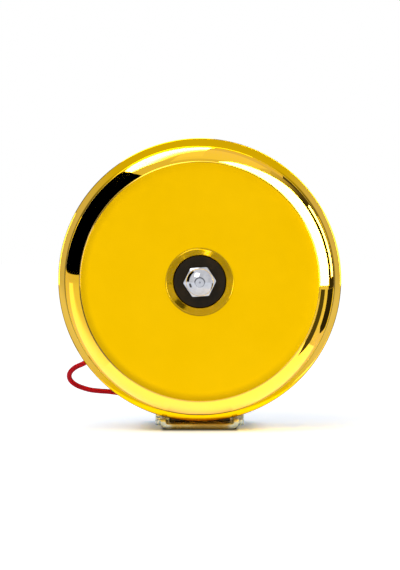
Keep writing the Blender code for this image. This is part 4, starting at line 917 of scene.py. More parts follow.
for ear_depth in (yoke_middle - yoke_half, yoke_middle + yoke_half - ear_thick):
    ear = blank([rounded(ear_outline), circle(pivot_across, pivot_height, pin_bore)], ear_thick, ear_edge)
    yoke_parts.append(lay(ear, RIGHT, UP, FRONT, at(0.0, ear_depth, 0.0)))
fit("yoke_bar", joined(yoke_parts), iron, "yoke")

# Magnet core: a round bar of soft iron, faced at both ends and held to the yoke by one screw.
core_left = -20.4
core_radius = 3.7
core_length = 32.2
core_bore = 1.8
core_bore_depth = 6.2
core_ease = 0.4
core_profile = [
    (0.0, core_bore_depth), (core_bore, core_bore_depth), (core_bore, 0.0), (core_radius - core_ease, 0.0),
    (core_radius, core_ease), (core_radius, core_length - core_ease),
    (core_radius - core_ease, core_length), (0.0, core_length)]
core_mesh = turned(core_profile, at(core_left, yoke_middle, coil_height), RIGHT, iron)
fit("coil_core_bar", core_mesh, iron, "coil_core")

# Coil: a black moulded bobbin wound with enamelled wire under a wrapping of varnished cotton tape.
# The tape laps over itself as it goes round.
bobbin_length = 31.0
flange_radius = 10.0
flange_thick = 1.2
barrel_radius = 4.9
bobbin_bore = 4.0
winding_left = 1.2
winding_radius = 9.2
winding_length = 28.6
tape_pitch = 6.2
tape_lap = 0.35
winding_columns = 96
winding_rows = 150
tape_steepness = 12.0
weave_along = 7000.0
weave_round = 64.0


def lofted(rows, close_start=False, close_end=False, loop=False):
    """A skin over rings of points, each ring with the same number of points, its ends closed if asked."""
    bm = bmesh.new()
    rings = [[bm.verts.new(point) for point in row] for row in rows]
    if loop:
        rings.append(rings[0])
    for one, two in zip(rings, rings[1:]):
        for index in range(len(one)):
            after = (index + 1) % len(one)
            bm.faces.new((one[index], one[after], two[after], two[index]))
    if close_start:
        bm.faces.new(list(reversed(rings[0])))
    if close_end:
        bm.faces.new(rings[-1])
    mesh = bpy.data.meshes.new("lofted")
    bm.to_mesh(mesh)
    bm.free()
    return mesh


def ring_of(radius_at, height_at, columns):
    """One ring of points; its radius and height are given for each angle."""
    points = []
    for column in range(columns):
        angle = math.tau * column / columns
        radius = radius_at(angle)
        points.append((radius * math.cos(angle), radius * math.sin(angle), height_at(angle)))
    return points


moulding = finish_of("black_moulding", [(0.35, (0.022, 0.019, 0.017)), (0.65, (0.034, 0.029, 0.025))],
                     smooth=0.28, rough=0.42, mottle_scale=500.0, grain=0.12, metallic=0.0)
half_bobbin = [
    (bobbin_bore, 0.0, 0.2), (flange_radius, 0.0, 0.35), (flange_radius, flange_thick, 0.35),
    (barrel_radius, flange_thick, 0.3)]
bobbin_profile = rounded(half_bobbin + [
    (radius, bobbin_length - height, corner) for radius, height, corner in reversed(half_bobbin)])
coil_place = at(core_left, yoke_middle, coil_height)
bobbin_mesh = turned(bobbin_profile, coil_place, RIGHT, moulding, closed=True, segments=96)
fit("coil_bobbin_moulding", bobbin_mesh, moulding, "coil_bobbin")


def tape_radius(angle, height):
    """How far the tape stands out: it thickens along each lap and steps down at its edge."""
    lap = (height / tape_pitch + angle / math.tau) % 1.0
    return winding_radius - tape_lap * min(lap, (1.0 - lap) * tape_steepness)


def plain(radius):
    """The same radius, or height, all round."""
    return lambda angle: radius


tape_rows = [ring_of(plain(barrel_radius), plain(0.0), winding_columns)]
for row in range(winding_rows + 1):
    tape_height = winding_length * row / winding_rows
    tape_rows.append(ring_of(
        lambda angle: tape_radius(angle, tape_height), plain(tape_height), winding_columns))
tape_rows.append(ring_of(plain(barrel_radius), plain(winding_length), winding_columns))
winding_place = at(core_left + winding_left, yoke_middle, coil_height)
tape_mesh = along_axis(lofted(tape_rows, loop=True), winding_place, RIGHT)
tape, tree = new_material("coil_tape")
place = place_in(tree)
on_coil = add(tree, "ShaderNodeMapping", {"Vector": place, "Location": -at(0.0, yoke_middle, coil_height)})
parts = add(tree, "ShaderNodeSeparateXYZ", {"Vector": on_coil.outputs["Vector"]}).outputs
round_coil = combined(tree, "ARCTAN2", parts["Y"], parts["Z"])
warp = combined(tree, "SINE", combined(tree, "MULTIPLY", parts["X"], weave_along))
weft = combined(tree, "SINE", combined(tree, "MULTIPLY", round_coil, weave_round))
woven = spread(tree, combined(tree, "MULTIPLY", warp, weft), -1.0, 1.0, 0.0, 1.0)
stain = noise(tree, place, scale=140.0)
coat(tree, {
    "Base Color": colours(tree, stain, [
        (0.30, (0.40, 0.28, 0.11)), (0.55, (0.53, 0.41, 0.19)), (0.75, (0.46, 0.34, 0.14))]),
    "Roughness": spread(tree, stain, 0.3, 0.7, 0.42, 0.62),
    "Normal": relief_normal(tree, woven, strength=0.5, distance=0.08)})
fit("coil_winding_tape", tape_mesh, tape, "coil_winding")

# Armature: a bar of soft iron that the magnet pulls, milled to a narrow knuckle at its lower end.
# A steel pin with a turned head is its pivot.
armature_right = 16.6
armature_thick = 3.6
armature_half = 4.5
armature_low = 20.45
armature_high = 42.0
armature_front = 19.5
spring_depth = 12.0
spring_height = anchor_spot[1]
spring_bore = 0.65
blade_screw_height = 24.5
rod_height = 37.0
rod_socket = 1.4
rod_socket_depth = 5.0
knuckle_half = 2.9
knuckle_top = armature_low + 1.0
pin_radius = 1.0
pin_length = 11.8
pin_head = 1.8
pin_head_height = 1.0
pin_back = 9.5
drill_past = 1.0
drill_segments = 32
pin_segments = 32
spring_bore_steps = 20


def bored(mesh, tool):
    """A piece with the shape of a tool cut out of it."""
    work = bpy.data.objects.new("work", mesh)
    cutter = bpy.data.objects.new("cutter", tool)
    scene.collection.objects.link(work)
    scene.collection.objects.link(cutter)
    cut = work.modifiers.new("cut", "BOOLEAN")
    cut.operation = "DIFFERENCE"
    cut.solver = "EXACT"
    cut.object = cutter
    result = taken_from(work)
    bpy.data.objects.remove(cutter)
    return result


def drill(radius, length, place, direction):
    """A round tool for boring holes."""
    profile = [(0.0, 0.0), (radius, 0.0), (radius, length), (0.0, length)]
    return turned(profile, place, direction, iron, segments=drill_segments)


armature_bar = blank([
    strip(armature_half, armature_high - armature_low, start_round=0.4, end_round=0.8),
    circle(0.0, blade_screw_height - armature_low, screw_bore),
    circle(spring_depth - yoke_middle, spring_height - armature_low, spring_bore, spring_bore_steps)],
    armature_thick, bar_edge)
lay(armature_bar, FRONT, UP, -RIGHT, at(armature_right, yoke_middle, armature_low))
socket_place = at(pivot_across, armature_front - rod_socket_depth, rod_height)
armature_bar = bored(armature_bar, drill(rod_socket, rod_socket_depth + drill_past, socket_place, FRONT))
neck_outline = [
    (pivot_across - knuckle, pivot_height - knuckle, knuckle_round),
    (pivot_across + knuckle, pivot_height - knuckle, knuckle_round),
    (armature_right - seat, knuckle_top, 0.0),
    (armature_right - armature_thick + seat, knuckle_top, 0.0)]
neck_lines = [rounded(neck_outline), circle(pivot_across, pivot_height, pin_bore)]
neck = blank(neck_lines, 2 * knuckle_half, ear_edge)
lay(neck, RIGHT, UP, FRONT, at(0.0, yoke_middle - knuckle_half, 0.0))
fit("armature_bar", joined([armature_bar, neck]), iron, "armature", "hammer")
pin_shank = pin_length - pin_head_height - seat
pin_profile = rounded([
    (0.0, 0.0, 0.0), (pin_radius, 0.0, 0.3), (pin_radius, pin_shank, 0.0), (pin_head, pin_shank, 0.2),
    (pin_head, pin_length, 0.4), (0.0, pin_length, 0.0)], False)
pin_place = at(pivot_across, pin_back, pivot_height)
pin_mesh = turned(pin_profile, pin_place, FRONT, bright_zinc, segments=pin_segments)
fit("armature_pivot_pin_turned", pin_mesh, bright_zinc, "armature_pivot_pin")

# Hammer: a spring steel rod bent square, pressed into the armature, with a brass ball on its end.
# The ball strikes the inside of the gong's wall.
rod_radius = 1.1
rod_bend = 4.0
rod_start = 14.8
ball_radius = 4.0
ball_low, ball_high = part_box("hammer_head")
ball_place = (ball_low + ball_high) / 2
ball_depth = (wall_y - ball_place.y) / MM
elbow = at(pivot_across, ball_depth, rod_height)
rod_run = (ball_place - elbow).normalized()
socket_floor = 0.7
rod_floor = 1.0
rod_sides = 24
rod_steps = 16
ball_steps = 32
ball_segments = 48
wire_tree, given, made = geometry_tree("drawn_wire", [
    ("Wire Radius", "NodeSocketFloat"), ("Sides", "NodeSocketInt")])
wire_path = add(wire_tree, "GeometryNodeMeshToCurve", {"Mesh": given["Drawn Line"]})
wire_section = add(wire_tree, "GeometryNodeCurvePrimitiveCircle", {
    "Resolution": given["Sides"], "Radius": given["Wire Radius"]})
drawn = add(wire_tree, "GeometryNodeCurveToMesh", {
    "Curve": wire_path.outputs["Curve"], "Profile Curve": wire_section.outputs["Curve"], "Fill Caps": True})
end_tree(wire_tree, given, made, drawn.outputs["Mesh"])


def wire(points, radius, sides, finish):
    """A round wire along a line of points, its ends closed."""
    return grown(wire_tree, points, False, {"Wire Radius": radius * MM, "Sides": sides, "Finish": finish})


spring_steel = finish_of("spring_steel", [(0.3, (0.42, 0.43, 0.46)), (0.7, (0.54, 0.55, 0.57))],
                         smooth=0.2, rough=0.34, mottle_scale=400.0, grain=0.12, metallic=1.0)
rod_line = [at(pivot_across, rod_start, rod_height)]
bend_in = elbow - FRONT * (rod_bend * MM)
bend_out = elbow + rod_run * (rod_bend * MM)
for step in range(rod_steps + 1):
    s = step / rod_steps
    rod_line.append((1 - s) ** 2 * bend_in + 2 * s * (1 - s) * elbow + s ** 2 * bend_out)
rod_line.append(ball_place - rod_run * (rod_floor * MM))
rod_mesh = wire(rod_line, rod_radius, rod_sides, spring_steel)
fit("hammer_rod_wire", rod_mesh, spring_steel, "hammer_rod", "hammer")
mouth = math.asin(rod_socket / ball_radius)
ball_profile = [(0.0, -socket_floor), (rod_socket, -socket_floor)]
for step in range(ball_steps + 1):
    angle = mouth + (math.pi - mouth) * step / ball_steps
    ball_profile.append((ball_radius * math.sin(angle), -ball_radius * math.cos(angle)))
ball_mesh = turned(ball_profile, ball_place, rod_run, brass, segments=ball_segments)
fit("hammer_head_ball", ball_mesh, brass, "hammer_head", "hammer")

# Contact blade: a strip of spring steel screwed to the armature, its upper end sprung clear of it.
# A round contact is riveted near its tip.
blade_left = 16.6
blade_thick = 0.5
blade_half = 3.0
blade_low = 21.5
blade_high = 36.5
blade_step_start = 27.0
blade_step_end = 29.0
contact_left = 17.4
contact_right = 18.7
contact_radius = 1.5
contact_height = 33.0
contact_side = 0.9
contact_pull = 0.1
contact_steps = 8
contact_segments = 32
blade_edge = 0.06
blade_steps = 8
blade_lines = [strip(blade_half, blade_high - blade_low, start_round=1.0, end_round=1.5)]
blade_lines.append(circle(0.0, blade_screw_height - blade_low, screw_bore))
blade_mesh = blank(blade_lines, blade_thick, blade_edge)
bm = bmesh.new()
bm.from_mesh(blade_mesh)
for step in range(blade_steps + 1):
    cut_across(bm, blade_step_start + (blade_step_end - blade_step_start) * step / blade_steps - blade_low)
for vert in bm.verts:
    share = (vert.co.y + blade_low - blade_step_start) / (blade_step_end - blade_step_start)
    share = min(max(share, 0.0), 1.0)
    vert.co.z -= seat * share * share * (3 - 2 * share)
bm.to_mesh(blade_mesh)
bm.free()
lay(blade_mesh, FRONT, UP, -RIGHT, at(blade_left + blade_thick, yoke_middle, blade_low))
fit("contact_blade_strip", blade_mesh, spring_steel, "contact_blade", "hammer")
contact_length = contact_right - contact_left
contact_profile = [(0.0, 0.0), (contact_radius, 0.0), (contact_radius, contact_side)]
contact_control = (contact_radius - contact_pull, contact_length - contact_pull)
contact_profile += bow(contact_profile[-1], contact_control, (0.0, contact_length), contact_steps)
contact_place = at(contact_left, yoke_middle, contact_height)
contact_mesh = turned(contact_profile, contact_place, RIGHT, bright_zinc, segments=contact_segments)
fit("contact_point_rivet", contact_mesh, bright_zinc, "contact_point", "hammer")

# Contact pillar: a block of brass cut to an L, on a plate of red fibre that keeps it clear of the
# steel. A screw through its foot holds both.
fibre_back = 1.8
fibre_thick = 2.1
fibre_outline = [(23.5, 20.5, 0.8), (30.5, 20.5, 0.8), (30.5, 37.5, 0.8), (23.5, 37.5, 0.8)]
pillar_right = 30.0
pillar_thick = 6.0
pillar_outline = [(3.9, 21.0, 0.6), (6.2, 21.0, 0.4), (6.2, 29.0, 0.6), (19.5, 29.0, 0.6), (19.5, 37.0, 0.8),
                  (3.9, 37.0, 0.6)]
adjuster_bore = 2.3
fibre_edge = 0.15
pillar_hole_back = 1.0
pillar_hole_length = 6.0
pillar_edge = 0.25
fibre = finish_of("red_brown_fibre", [(0.30, (0.21, 0.07, 0.038)), (0.70, (0.29, 0.105, 0.06))],
                  smooth=0.5, rough=0.66, mottle_scale=380.0, grain=0.5, metallic=0.0, scratch_scale=500.0)
fibre_lines = [rounded(fibre_outline), circle(*pillar_screw_spot, screw_bore)]
fibre_mesh = blank(fibre_lines, fibre_thick, fibre_edge)
lay(fibre_mesh, RIGHT, UP, FRONT, at(0.0, fibre_back, 0.0))
fit("contact_insulator_plate", fibre_mesh, fibre, "contact_insulator")
pillar_lines = [rounded(pillar_outline), circle(yoke_middle, contact_height, adjuster_bore)]
pillar_mesh = blank(pillar_lines, pillar_thick, pillar_edge)
lay(pillar_mesh, FRONT, UP, -RIGHT, at(pillar_right, 0.0, 0.0))
pillar_hole_place = at(pillar_screw_spot[0], pillar_hole_back, pillar_screw_spot[1])
pillar_hole = drill(screw_bore, pillar_hole_length, pillar_hole_place, FRONT)
fit("contact_pillar_block", bored(pillar_mesh, pillar_hole), brass, "contact_pillar")

# Contact screw: a brass screw with a knurled and slotted head that sets the gap of the contacts.
# A thin hexagon nut locks it in its pillar.
adjuster_tip = 19.0
tip_radius = 1.0
tip_length = 1.5
adjuster_radius = 2.0
adjuster_neck = 14.6
adjuster_length = 18.6
knurl_radius = 4.0
knurl_count = 36
knurl_groove = 0.22
adjuster_pitch = 0.7
adjuster_groove = 0.28
adjuster_columns = 144
lock_nut_left = 30.0
lock_nut_thick = 3.3
lock_nut_flats = 7.0
corner_break = 0.982
nut_bevel = math.tan(math.radians(28.0))
bevel_start = 0.485
tip_ease = 0.3
knurl_ease = 0.5
thread_gap = 0.1
thread_rows = 6


def threaded(height):
    """Radius of the adjuster's thread round one height, as a helix."""
    def radius_at(angle):
        phase = (height / adjuster_pitch - angle / math.tau) % 1.0
        return adjuster_radius - adjuster_groove * abs(2.0 * phase - 1.0)
    return radius_at


def knurled(inset):
    """Radius of the knurled head, set in by an amount."""
    def radius_at(angle):
        return knurl_radius - inset - knurl_groove * (0.5 - 0.5 * math.cos(knurl_count * angle))
    return radius_at


adjuster_root = plain(adjuster_radius - adjuster_groove)
adjuster_rings = [
    (plain(tip_radius - tip_ease), 0.0), (plain(tip_radius), tip_ease), (plain(tip_radius), tip_length),
    (adjuster_root, tip_length)]
for step in range(int((adjuster_neck - tip_length) / adjuster_pitch * thread_rows)):
    height = tip_length + thread_gap + step * adjuster_pitch / thread_rows
    adjuster_rings.append((threaded(height), height))
adjuster_rings += [
    (adjuster_root, adjuster_neck), (knurled(knurl_ease), adjuster_neck),
    (knurled(0.0), adjuster_neck + knurl_ease), (knurled(0.0), adjuster_length - knurl_ease),
    (knurled(knurl_ease), adjuster_length)]
adjuster_rows = [ring_of(radius_at, plain(height), adjuster_columns) for radius_at, height in adjuster_rings]
adjuster_place = at(adjuster_tip, yoke_middle, contact_height)
adjuster_mesh = along_axis(lofted(adjuster_rows, True, True), adjuster_place, RIGHT)
saw_half = slot_width / 2
saw_reach = 2 * knurl_radius
saw_outline = [(-saw_half, -saw_reach), (saw_half, -saw_reach), (saw_half, saw_reach), (-saw_half, saw_reach)]
saw_blade = blank([saw_outline], 2 * slot_depth, 0.0)
saw_across = adjuster_tip + adjuster_length + slot_depth
lay(saw_blade, FRONT, UP, -RIGHT, at(saw_across, yoke_middle, contact_height))
adjuster_mesh = bored(adjuster_mesh, saw_blade)
fit("contact_screw_knurled", adjuster_mesh, brass, "contact_screw", "adjuster")


def hexagon_reach(flats, turn):
    """How far a hexagon bar reaches from its axis at an angle, with its corners just broken."""
    def reach_at(angle):
        within = (angle - turn) % (math.pi / 3) - math.pi / 6
        return min(flats / 2 / math.cos(within), corner_break * flats / math.sqrt(3))
    return reach_at


def bevel_drop(reach, flats):
    """How far a turned bevel cuts down the face of a nut at a reach."""
    return max(0.0, reach - bevel_start * flats) * nut_bevel


lock_reach = hexagon_reach(lock_nut_flats, 0.0)


def lock_face(share, top):
    """One ring of the lock nut's end face, from its bore to its edge."""
    def radius_at(angle):
        return adjuster_bore + (lock_reach(angle) - adjuster_bore) * share

    def height_at(angle):
        drop = bevel_drop(radius_at(angle), lock_nut_flats)
        return lock_nut_thick - drop if top else drop
    return ring_of(radius_at, height_at, adjuster_columns)


face_shares = (0.0, 0.5, 0.8, 0.9, 1.0)
lock_rows = [lock_face(share, False) for share in face_shares]
lock_rows += [lock_face(share, True) for share in reversed(face_shares)]
lock_mesh = along_axis(lofted(lock_rows, loop=True), at(lock_nut_left, yoke_middle, contact_height), RIGHT)
fit("contact_lock_nut_hexagon", lock_mesh, brass, "contact_lock_nut")

# Return spring: a small tension spring wound from steel wire. One tail is hooked through the
# armature and the other through an anchor post that is riveted to the plate.
spring_wire = 0.35
spring_radius = 1.7
spring_pitch = 1.2
spring_turns = 7
spring_start = 17.8
spring_lead = 1.4
spring_hook = 1.6
hook_left = 12.35
hook_right = 33.25
turn_points = 40
anchor_across = anchor_spot[0]
anchor_radius = 1.8
anchor_tenon = 1.2
anchor_length = 14.2
anchor_tenon_length = 1.5
anchor_segments = 40
spring_sides = 12
hook_bend = ((0.0, 0.4), (0.12, 0.12), (0.4, 0.0))


def by_spring(across, out=0.0, rise=0.0):
    """A place by the axis of the spring: across, out from the wall and above it."""
    return at(across, spring_depth + out, spring_height + rise)


spring_line = [by_spring(hook_left, rise=spring_hook)]
spring_line += [by_spring(hook_left + x, rise=z) for x, z in hook_bend]
spring_steps = spring_turns * turn_points
half_turn = turn_points / 2
across = spring_start
for step in range(spring_steps + 1):
    from_end = min(step, spring_steps - step) / half_turn
    radius = spring_radius * min(1.0, from_end)
    angle = math.tau * step / turn_points
    spring_line.append(by_spring(across, radius * math.sin(angle), radius * math.cos(angle)))
    ending = min(step, spring_steps - 1 - step) < half_turn
    across += spring_lead / half_turn if ending else spring_pitch / turn_points
spring_line += [by_spring(hook_right - x, rise=z) for x, z in reversed(hook_bend)]
spring_line.append(by_spring(hook_right, rise=spring_hook))
spring_mesh = wire(spring_line, spring_wire, spring_sides, spring_steel)
spring = fit("return_spring_wire", spring_mesh, spring_steel, "return_spring", None)
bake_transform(spring)
anchor_profile = rounded([
    (0.0, 0.0, 0.0), (anchor_tenon, 0.0, 0.3), (anchor_tenon, anchor_tenon_length, 0.0),
    (anchor_radius, anchor_tenon_length, 0.0), (anchor_radius, anchor_length, 0.5),
    (0.0, anchor_length, 0.0)], False)
anchor_place = at(anchor_across, seat, spring_height)
anchor_mesh = turned(anchor_profile, anchor_place, FRONT, bright_zinc, segments=anchor_segments)
anchor_hole = drill(spring_bore, 4 * anchor_radius, by_spring(anchor_across - 2 * anchor_radius), RIGHT)
fit("spring_anchor_post", bored(anchor_mesh, anchor_hole), bright_zinc, "spring_anchor")

# Terminal block: a small block of black moulding screwed down to the foot, with a wire entry at
# each end and two brass clamping screws in its front.
block_half = 11.0
block_back = 13.0
block_depth = 10.0
block_low = 1.8
block_high = 11.1
entry_height = 8.3
entry_depth = 18.0
entry_radius = 1.2
entry_length = 2.8
block_edge = 0.4
block_outline = strip(block_half, block_high - block_low, start_round=0.6, end_round=1.2)
block_mesh = blank([block_outline], block_depth, block_edge)
lay(block_mesh, RIGHT, UP, FRONT, at(0.0, block_back, block_low))
for side in (-1, 1):
    entry = at(side * (block_half - entry_length), entry_depth, entry_height)
    block_mesh = bored(block_mesh, drill(entry_radius, 2 * entry_length, entry, RIGHT * side))
fit("terminal_block_moulding", block_mesh, moulding, "terminal_block")

# Red lead: a thin stranded lead with a red vinyl cover. It leaves the coil, makes one loop past the
# left edge of the gong, and comes back into the terminal block under it.
lead_radius = 0.9
lead_sides = 20
lead_steps = 6
lead_route = [
    (-20.7, 21.5, 34.5), (-24.5, 21.7, 34.2), (-29.0, 22.6, 32.2), (-34.0, 24.0, 28.6),
    (-38.2, 24.9, 25.2), (-41.7, 25.0, 23.0), (-44.7, 24.6, 21.6), (-46.6, 23.4, 19.9),
    (-47.2, 21.8, 18.1), (-46.6, 20.4, 16.4), (-44.9, 19.4, 14.9), (-42.4, 19.0, 13.8),
    (-39.5, 18.8, 13.0), (-36.2, 18.6, 12.6), (-33.3, 18.5, 12.4), (-29.0, 18.3, 11.8),
    (-24.5, 18.1, 10.6), (-20.0, 18.0, 9.1), (-15.5, 18.0, 8.3), (-11.5, 18.0, 8.3), (-8.5, 18.0, 8.3),
]
lead_knots = [at(*knot) for knot in lead_route]


def smooth_line(knots, steps):
    """Points of a smooth line through the knots."""
    points = []
    for index in range(len(knots) - 1):
        one, two = knots[index], knots[index + 1]
        before = knots[max(index - 1, 0)]
        after = knots[min(index + 2, len(knots) - 1)]
        for step in range(steps):
            s = step / steps
            bend = (2 * before - 5 * one + 4 * two - after) * s * s
            twist = (3 * one - before - 3 * two + after) * s * s * s
            points.append((2 * one + (two - before) * s + bend + twist) / 2)
    points.append(knots[-1])
    return points


red_vinyl, tree = new_material("red_vinyl")
place = place_in(tree)
cloudy = noise(tree, place, scale=350.0)
pores = noise(tree, place, scale=4000.0, detail=2.0)
coat(tree, {
    "Specular IOR Level": 0.1,
    "Base Color": colours(tree, cloudy, [(0.3, (0.43, 0.0015, 0.007)), (0.7, (0.55, 0.003, 0.014))]),
    "Roughness": spread(tree, cloudy, 0.3, 0.7, 0.32, 0.46),
    "Normal": relief_normal(tree, pores, strength=0.12, distance=0.03)})
lead_line = smooth_line(lead_knots, lead_steps)
lead_mesh = wire(lead_line, lead_radius, lead_sides, red_vinyl)
red_lead = fit("red_lead_cover", lead_mesh, red_vinyl, "red_lead")

# Gong: one sheet of steel spun to a flat face with a round shoulder, a straight wall and a rolled
# lip, gilt all over. The face is brushed to a satin; the shoulder, lip and recess are polished.
gong_radius = (gong_high.x - gong_low.x) / 2 / MM
gong_depth = (gong_high.y - gong_low.y) / MM
gong_sheet = 1.2
wall_radius = gong_radius - 3.4
face_radius = wall_radius - 5.4
crease_round = 0.3
edge_ease = 4.0
edge_slope = 0.16
crease_height = gong_depth - edge_slope * edge_ease / 2
shoulder_start = math.radians(40.0)
shoulder_end = math.radians(80.0)
shoulder_radius = (wall_radius - face_radius) / (math.sin(shoulder_end) - math.sin(shoulder_start))
lip_fillet = 0.9
lip_rise = 1.9
lip_height = gong_sheet + lip_rise
lip_top = lip_height + lip_fillet
lip_shoulder = (gong_radius - 0.3, lip_height - 0.22)
recess_floor = gong_depth - 3.5
recess_radius = 9.2
recess_rim = 11.6
stud_bore = 3.3
floor_steps = 4
dish_steps = 6
face_steps = 12
ease_steps = 10
shoulder_steps = 32
fillet_steps = 12
gong_segments = 192
inset_share = 0.985
# The brown that the painted shade on the gilt blends towards.
painted_shade_brown = (0.035, 0.02, 0.003, 1.0)
gilt_sheen = (1.0, 0.75, 0.05, 1.0)


def gong_line():
    """Outer line of the gong from its hole, over the face and shoulder, to the lip."""
    floor_step = (recess_radius - stud_bore) / floor_steps
    points = [(stud_bore + floor_step * step, recess_floor) for step in range(floor_steps)]
    dish_foot = (recess_radius, recess_floor + 1.6)
    dish_low = (recess_radius + 0.3, recess_floor + 2.05)
    dish_high = (recess_rim - 0.55, gong_depth - 0.42)
    inner_face = recess_rim + 0.4
    ease_start = face_radius - edge_ease
    points += [(recess_radius - 0.2, recess_floor), (recess_radius, recess_floor + 0.2), dish_foot]
    points += bow(dish_foot, (recess_radius, recess_floor + 1.85), dish_low, steps=5)
    for step in range(1, dish_steps + 1):
        points.append(tuple(Vector(dish_low).lerp(Vector(dish_high), step / dish_steps)))
    points += bow(dish_high, (recess_rim + 0.08, gong_depth), (inner_face, gong_depth), steps=8)
    for step in range(1, face_steps + 1):
        points.append((inner_face + (ease_start - inner_face) * step / face_steps, gong_depth))
    for step in range(1, ease_steps + 1):
        past = (edge_ease - crease_round) * step / ease_steps
        points.append((ease_start + past, gong_depth - edge_slope / edge_ease * past * past / 2))
    centre_radius = face_radius - shoulder_radius * math.sin(shoulder_start)
    centre_height = crease_height - shoulder_radius * math.cos(shoulder_start)
    shoulder = []
    for step in range(1, shoulder_steps + 1):
        angle = shoulder_start + (shoulder_end - shoulder_start) * step / shoulder_steps
        shoulder.append((centre_radius + shoulder_radius * math.sin(angle),
                         centre_height + shoulder_radius * math.cos(angle)))
    past_crease = [point for point in shoulder if point[0] - face_radius > 0.7 * crease_round]
    points += bow(points[-1], (face_radius, crease_height), past_crease[0], 8)
    points += past_crease[1:]
    wall_top = points[-1]
    points += bow(wall_top, (wall_radius, wall_top[1] - 0.6), (wall_radius, wall_top[1] - 3.0), 8)
    for step in range(fillet_steps + 1):
        angle = math.pi / 2 * step / fillet_steps
        points.append((wall_radius + lip_fillet * (1 - math.cos(angle)),
                       lip_top - lip_fillet * math.sin(angle)))
    points += bow(points[-1], (gong_radius - 1.2, lip_height), lip_shoulder, 12)
    points += bow(lip_shoulder, (gong_radius, lip_height - 0.3), (gong_radius, gong_sheet), 12)
    return points


def inside_line(points, thick):
    """The same line set in by the sheet's thickness, without the loops at tight corners."""
    inner = []
    for index in range(len(points)):
        one = Vector(points[max(index - 1, 0)])
        two = Vector(points[min(index + 1, len(points) - 1)])
        along = (two - one).normalized()
        inner.append(Vector(points[index]) + Vector((along.y, -along.x)) * thick)
    outer = [Vector(point) for point in points]
    nearest = [min((point - other).length for other in outer) for point in inner]
    return [tuple(point) for point, gap in zip(inner, nearest) if gap > inset_share * thick]


def off_axis(tree, place):
    """How far a place in a finish lies from the gong's axis: across and up, and in all."""
    offset = add(tree, "ShaderNodeMapping", {
        "Vector": place, "Location": (-gong_middle.x, 0.0, -gong_middle.z), "Scale": (1.0, 0.0, 1.0)})
    parts = add(tree, "ShaderNodeSeparateXYZ", {"Vector": offset.outputs["Vector"]}).outputs
    return parts["X"], parts["Z"], measure(tree, "LENGTH", offset.outputs["Vector"])


def between(tree, value, low, high, to_low=0.0, to_high=1.0):
    """Maps a distance in a finish from a range in millimetres."""
    return spread(tree, value, low * MM, high * MM, to_low, to_high)


gilt, tree = new_material("polished_gilt")
place = place_in(tree)
across_here, up_here, radius_here = off_axis(tree, place)
sideways = combined(tree, "ABSOLUTE", across_here)
leaning = combined(tree, "MULTIPLY", combined(tree, "ADD", across_here, up_here), -1.0)
outside_face = between(tree, radius_here, face_radius - 0.35, face_radius - 0.05)
inside_face = between(tree, radius_here, recess_rim, recess_rim + 0.5, 0.55, 0.0)
polished = combined(tree, "MAXIMUM", outside_face, inside_face)
satin_side = spread(tree, polished, 0.0, 1.0, 1.0, 0.0)
satin = spread(tree, noise(tree, place, scale=260.0, detail=3.0), 0.2, 0.8, 0.28, 0.31)
bright = spread(tree, marks_on(tree, place, 1400.0, 45.0)["Smear"], 0.0, 1.0, 0.02, 0.04)
roughness = add(tree, "ShaderNodeMix", {"Factor": polished, "A": satin, "B": bright})

# Painted shade on the gilt: dark lines painted at the crease, round the recess and at the root of the
# lip, a duller lip with a painted dark edge, and painted shade at the lower left of the face.
painted_dark_rim = between(tree, radius_here, gong_radius - 0.45, gong_radius - 0.12, 0.0, 0.93)
on_lip = between(tree, radius_here, wall_radius + 0.8, wall_radius + 1.3)
crease_shade_depth = between(tree, across_here, -0.8 * face_radius, -0.5 * face_radius, 0.97, 0.5)
recess_shade_depth = between(tree, leaning, -recess_rim, recess_rim, 0.35, 0.6)
lip_root_shade_depth = between(tree, sideways, 0.5 * wall_radius, 0.85 * wall_radius, 0.15, 0.85)
face_shade_depth = between(tree, leaning, -face_radius, face_radius, 0.08, 0.36)
face_shade_near_edge = between(tree, radius_here, face_radius - 3.4, face_radius - 0.4)
painted_face_shade = combined(tree, "MULTIPLY", combined(tree, "MULTIPLY", face_shade_near_edge, face_shade_depth), satin_side)
painted_shade_and_dull_lip = combined(tree, "MAXIMUM", spread(tree, on_lip, 0.0, 1.0, 0.0, 0.16), painted_face_shade)
for line_radius, line_half, line_shade_depth in ((face_radius - 0.05, 0.45, crease_shade_depth),
                                           (recess_rim + 0.25, 0.35, recess_shade_depth),
                                           (wall_radius + 0.8, 0.7, lip_root_shade_depth)):
    apart = combined(tree, "ABSOLUTE", combined(tree, "SUBTRACT", radius_here, line_radius * MM))
    line = between(tree, apart, 0.0, line_half, 1.0, 0.0)
    painted_shade_and_dull_lip = combined(tree, "MAXIMUM", painted_shade_and_dull_lip, combined(tree, "MULTIPLY", line, line_shade_depth))
# The dark rim at the very edge of the lip is painted shade; it also takes the coat away there.
painted_shade_and_dull_lip = combined(tree, "MAXIMUM", painted_shade_and_dull_lip, painted_dark_rim)
golds = [(0.3, (0.755, 0.44, 0.0)), (0.7, (0.78, 0.457, 0.001))]
gold = colours(tree, noise(tree, place, scale=40.0, detail=3.0), golds)

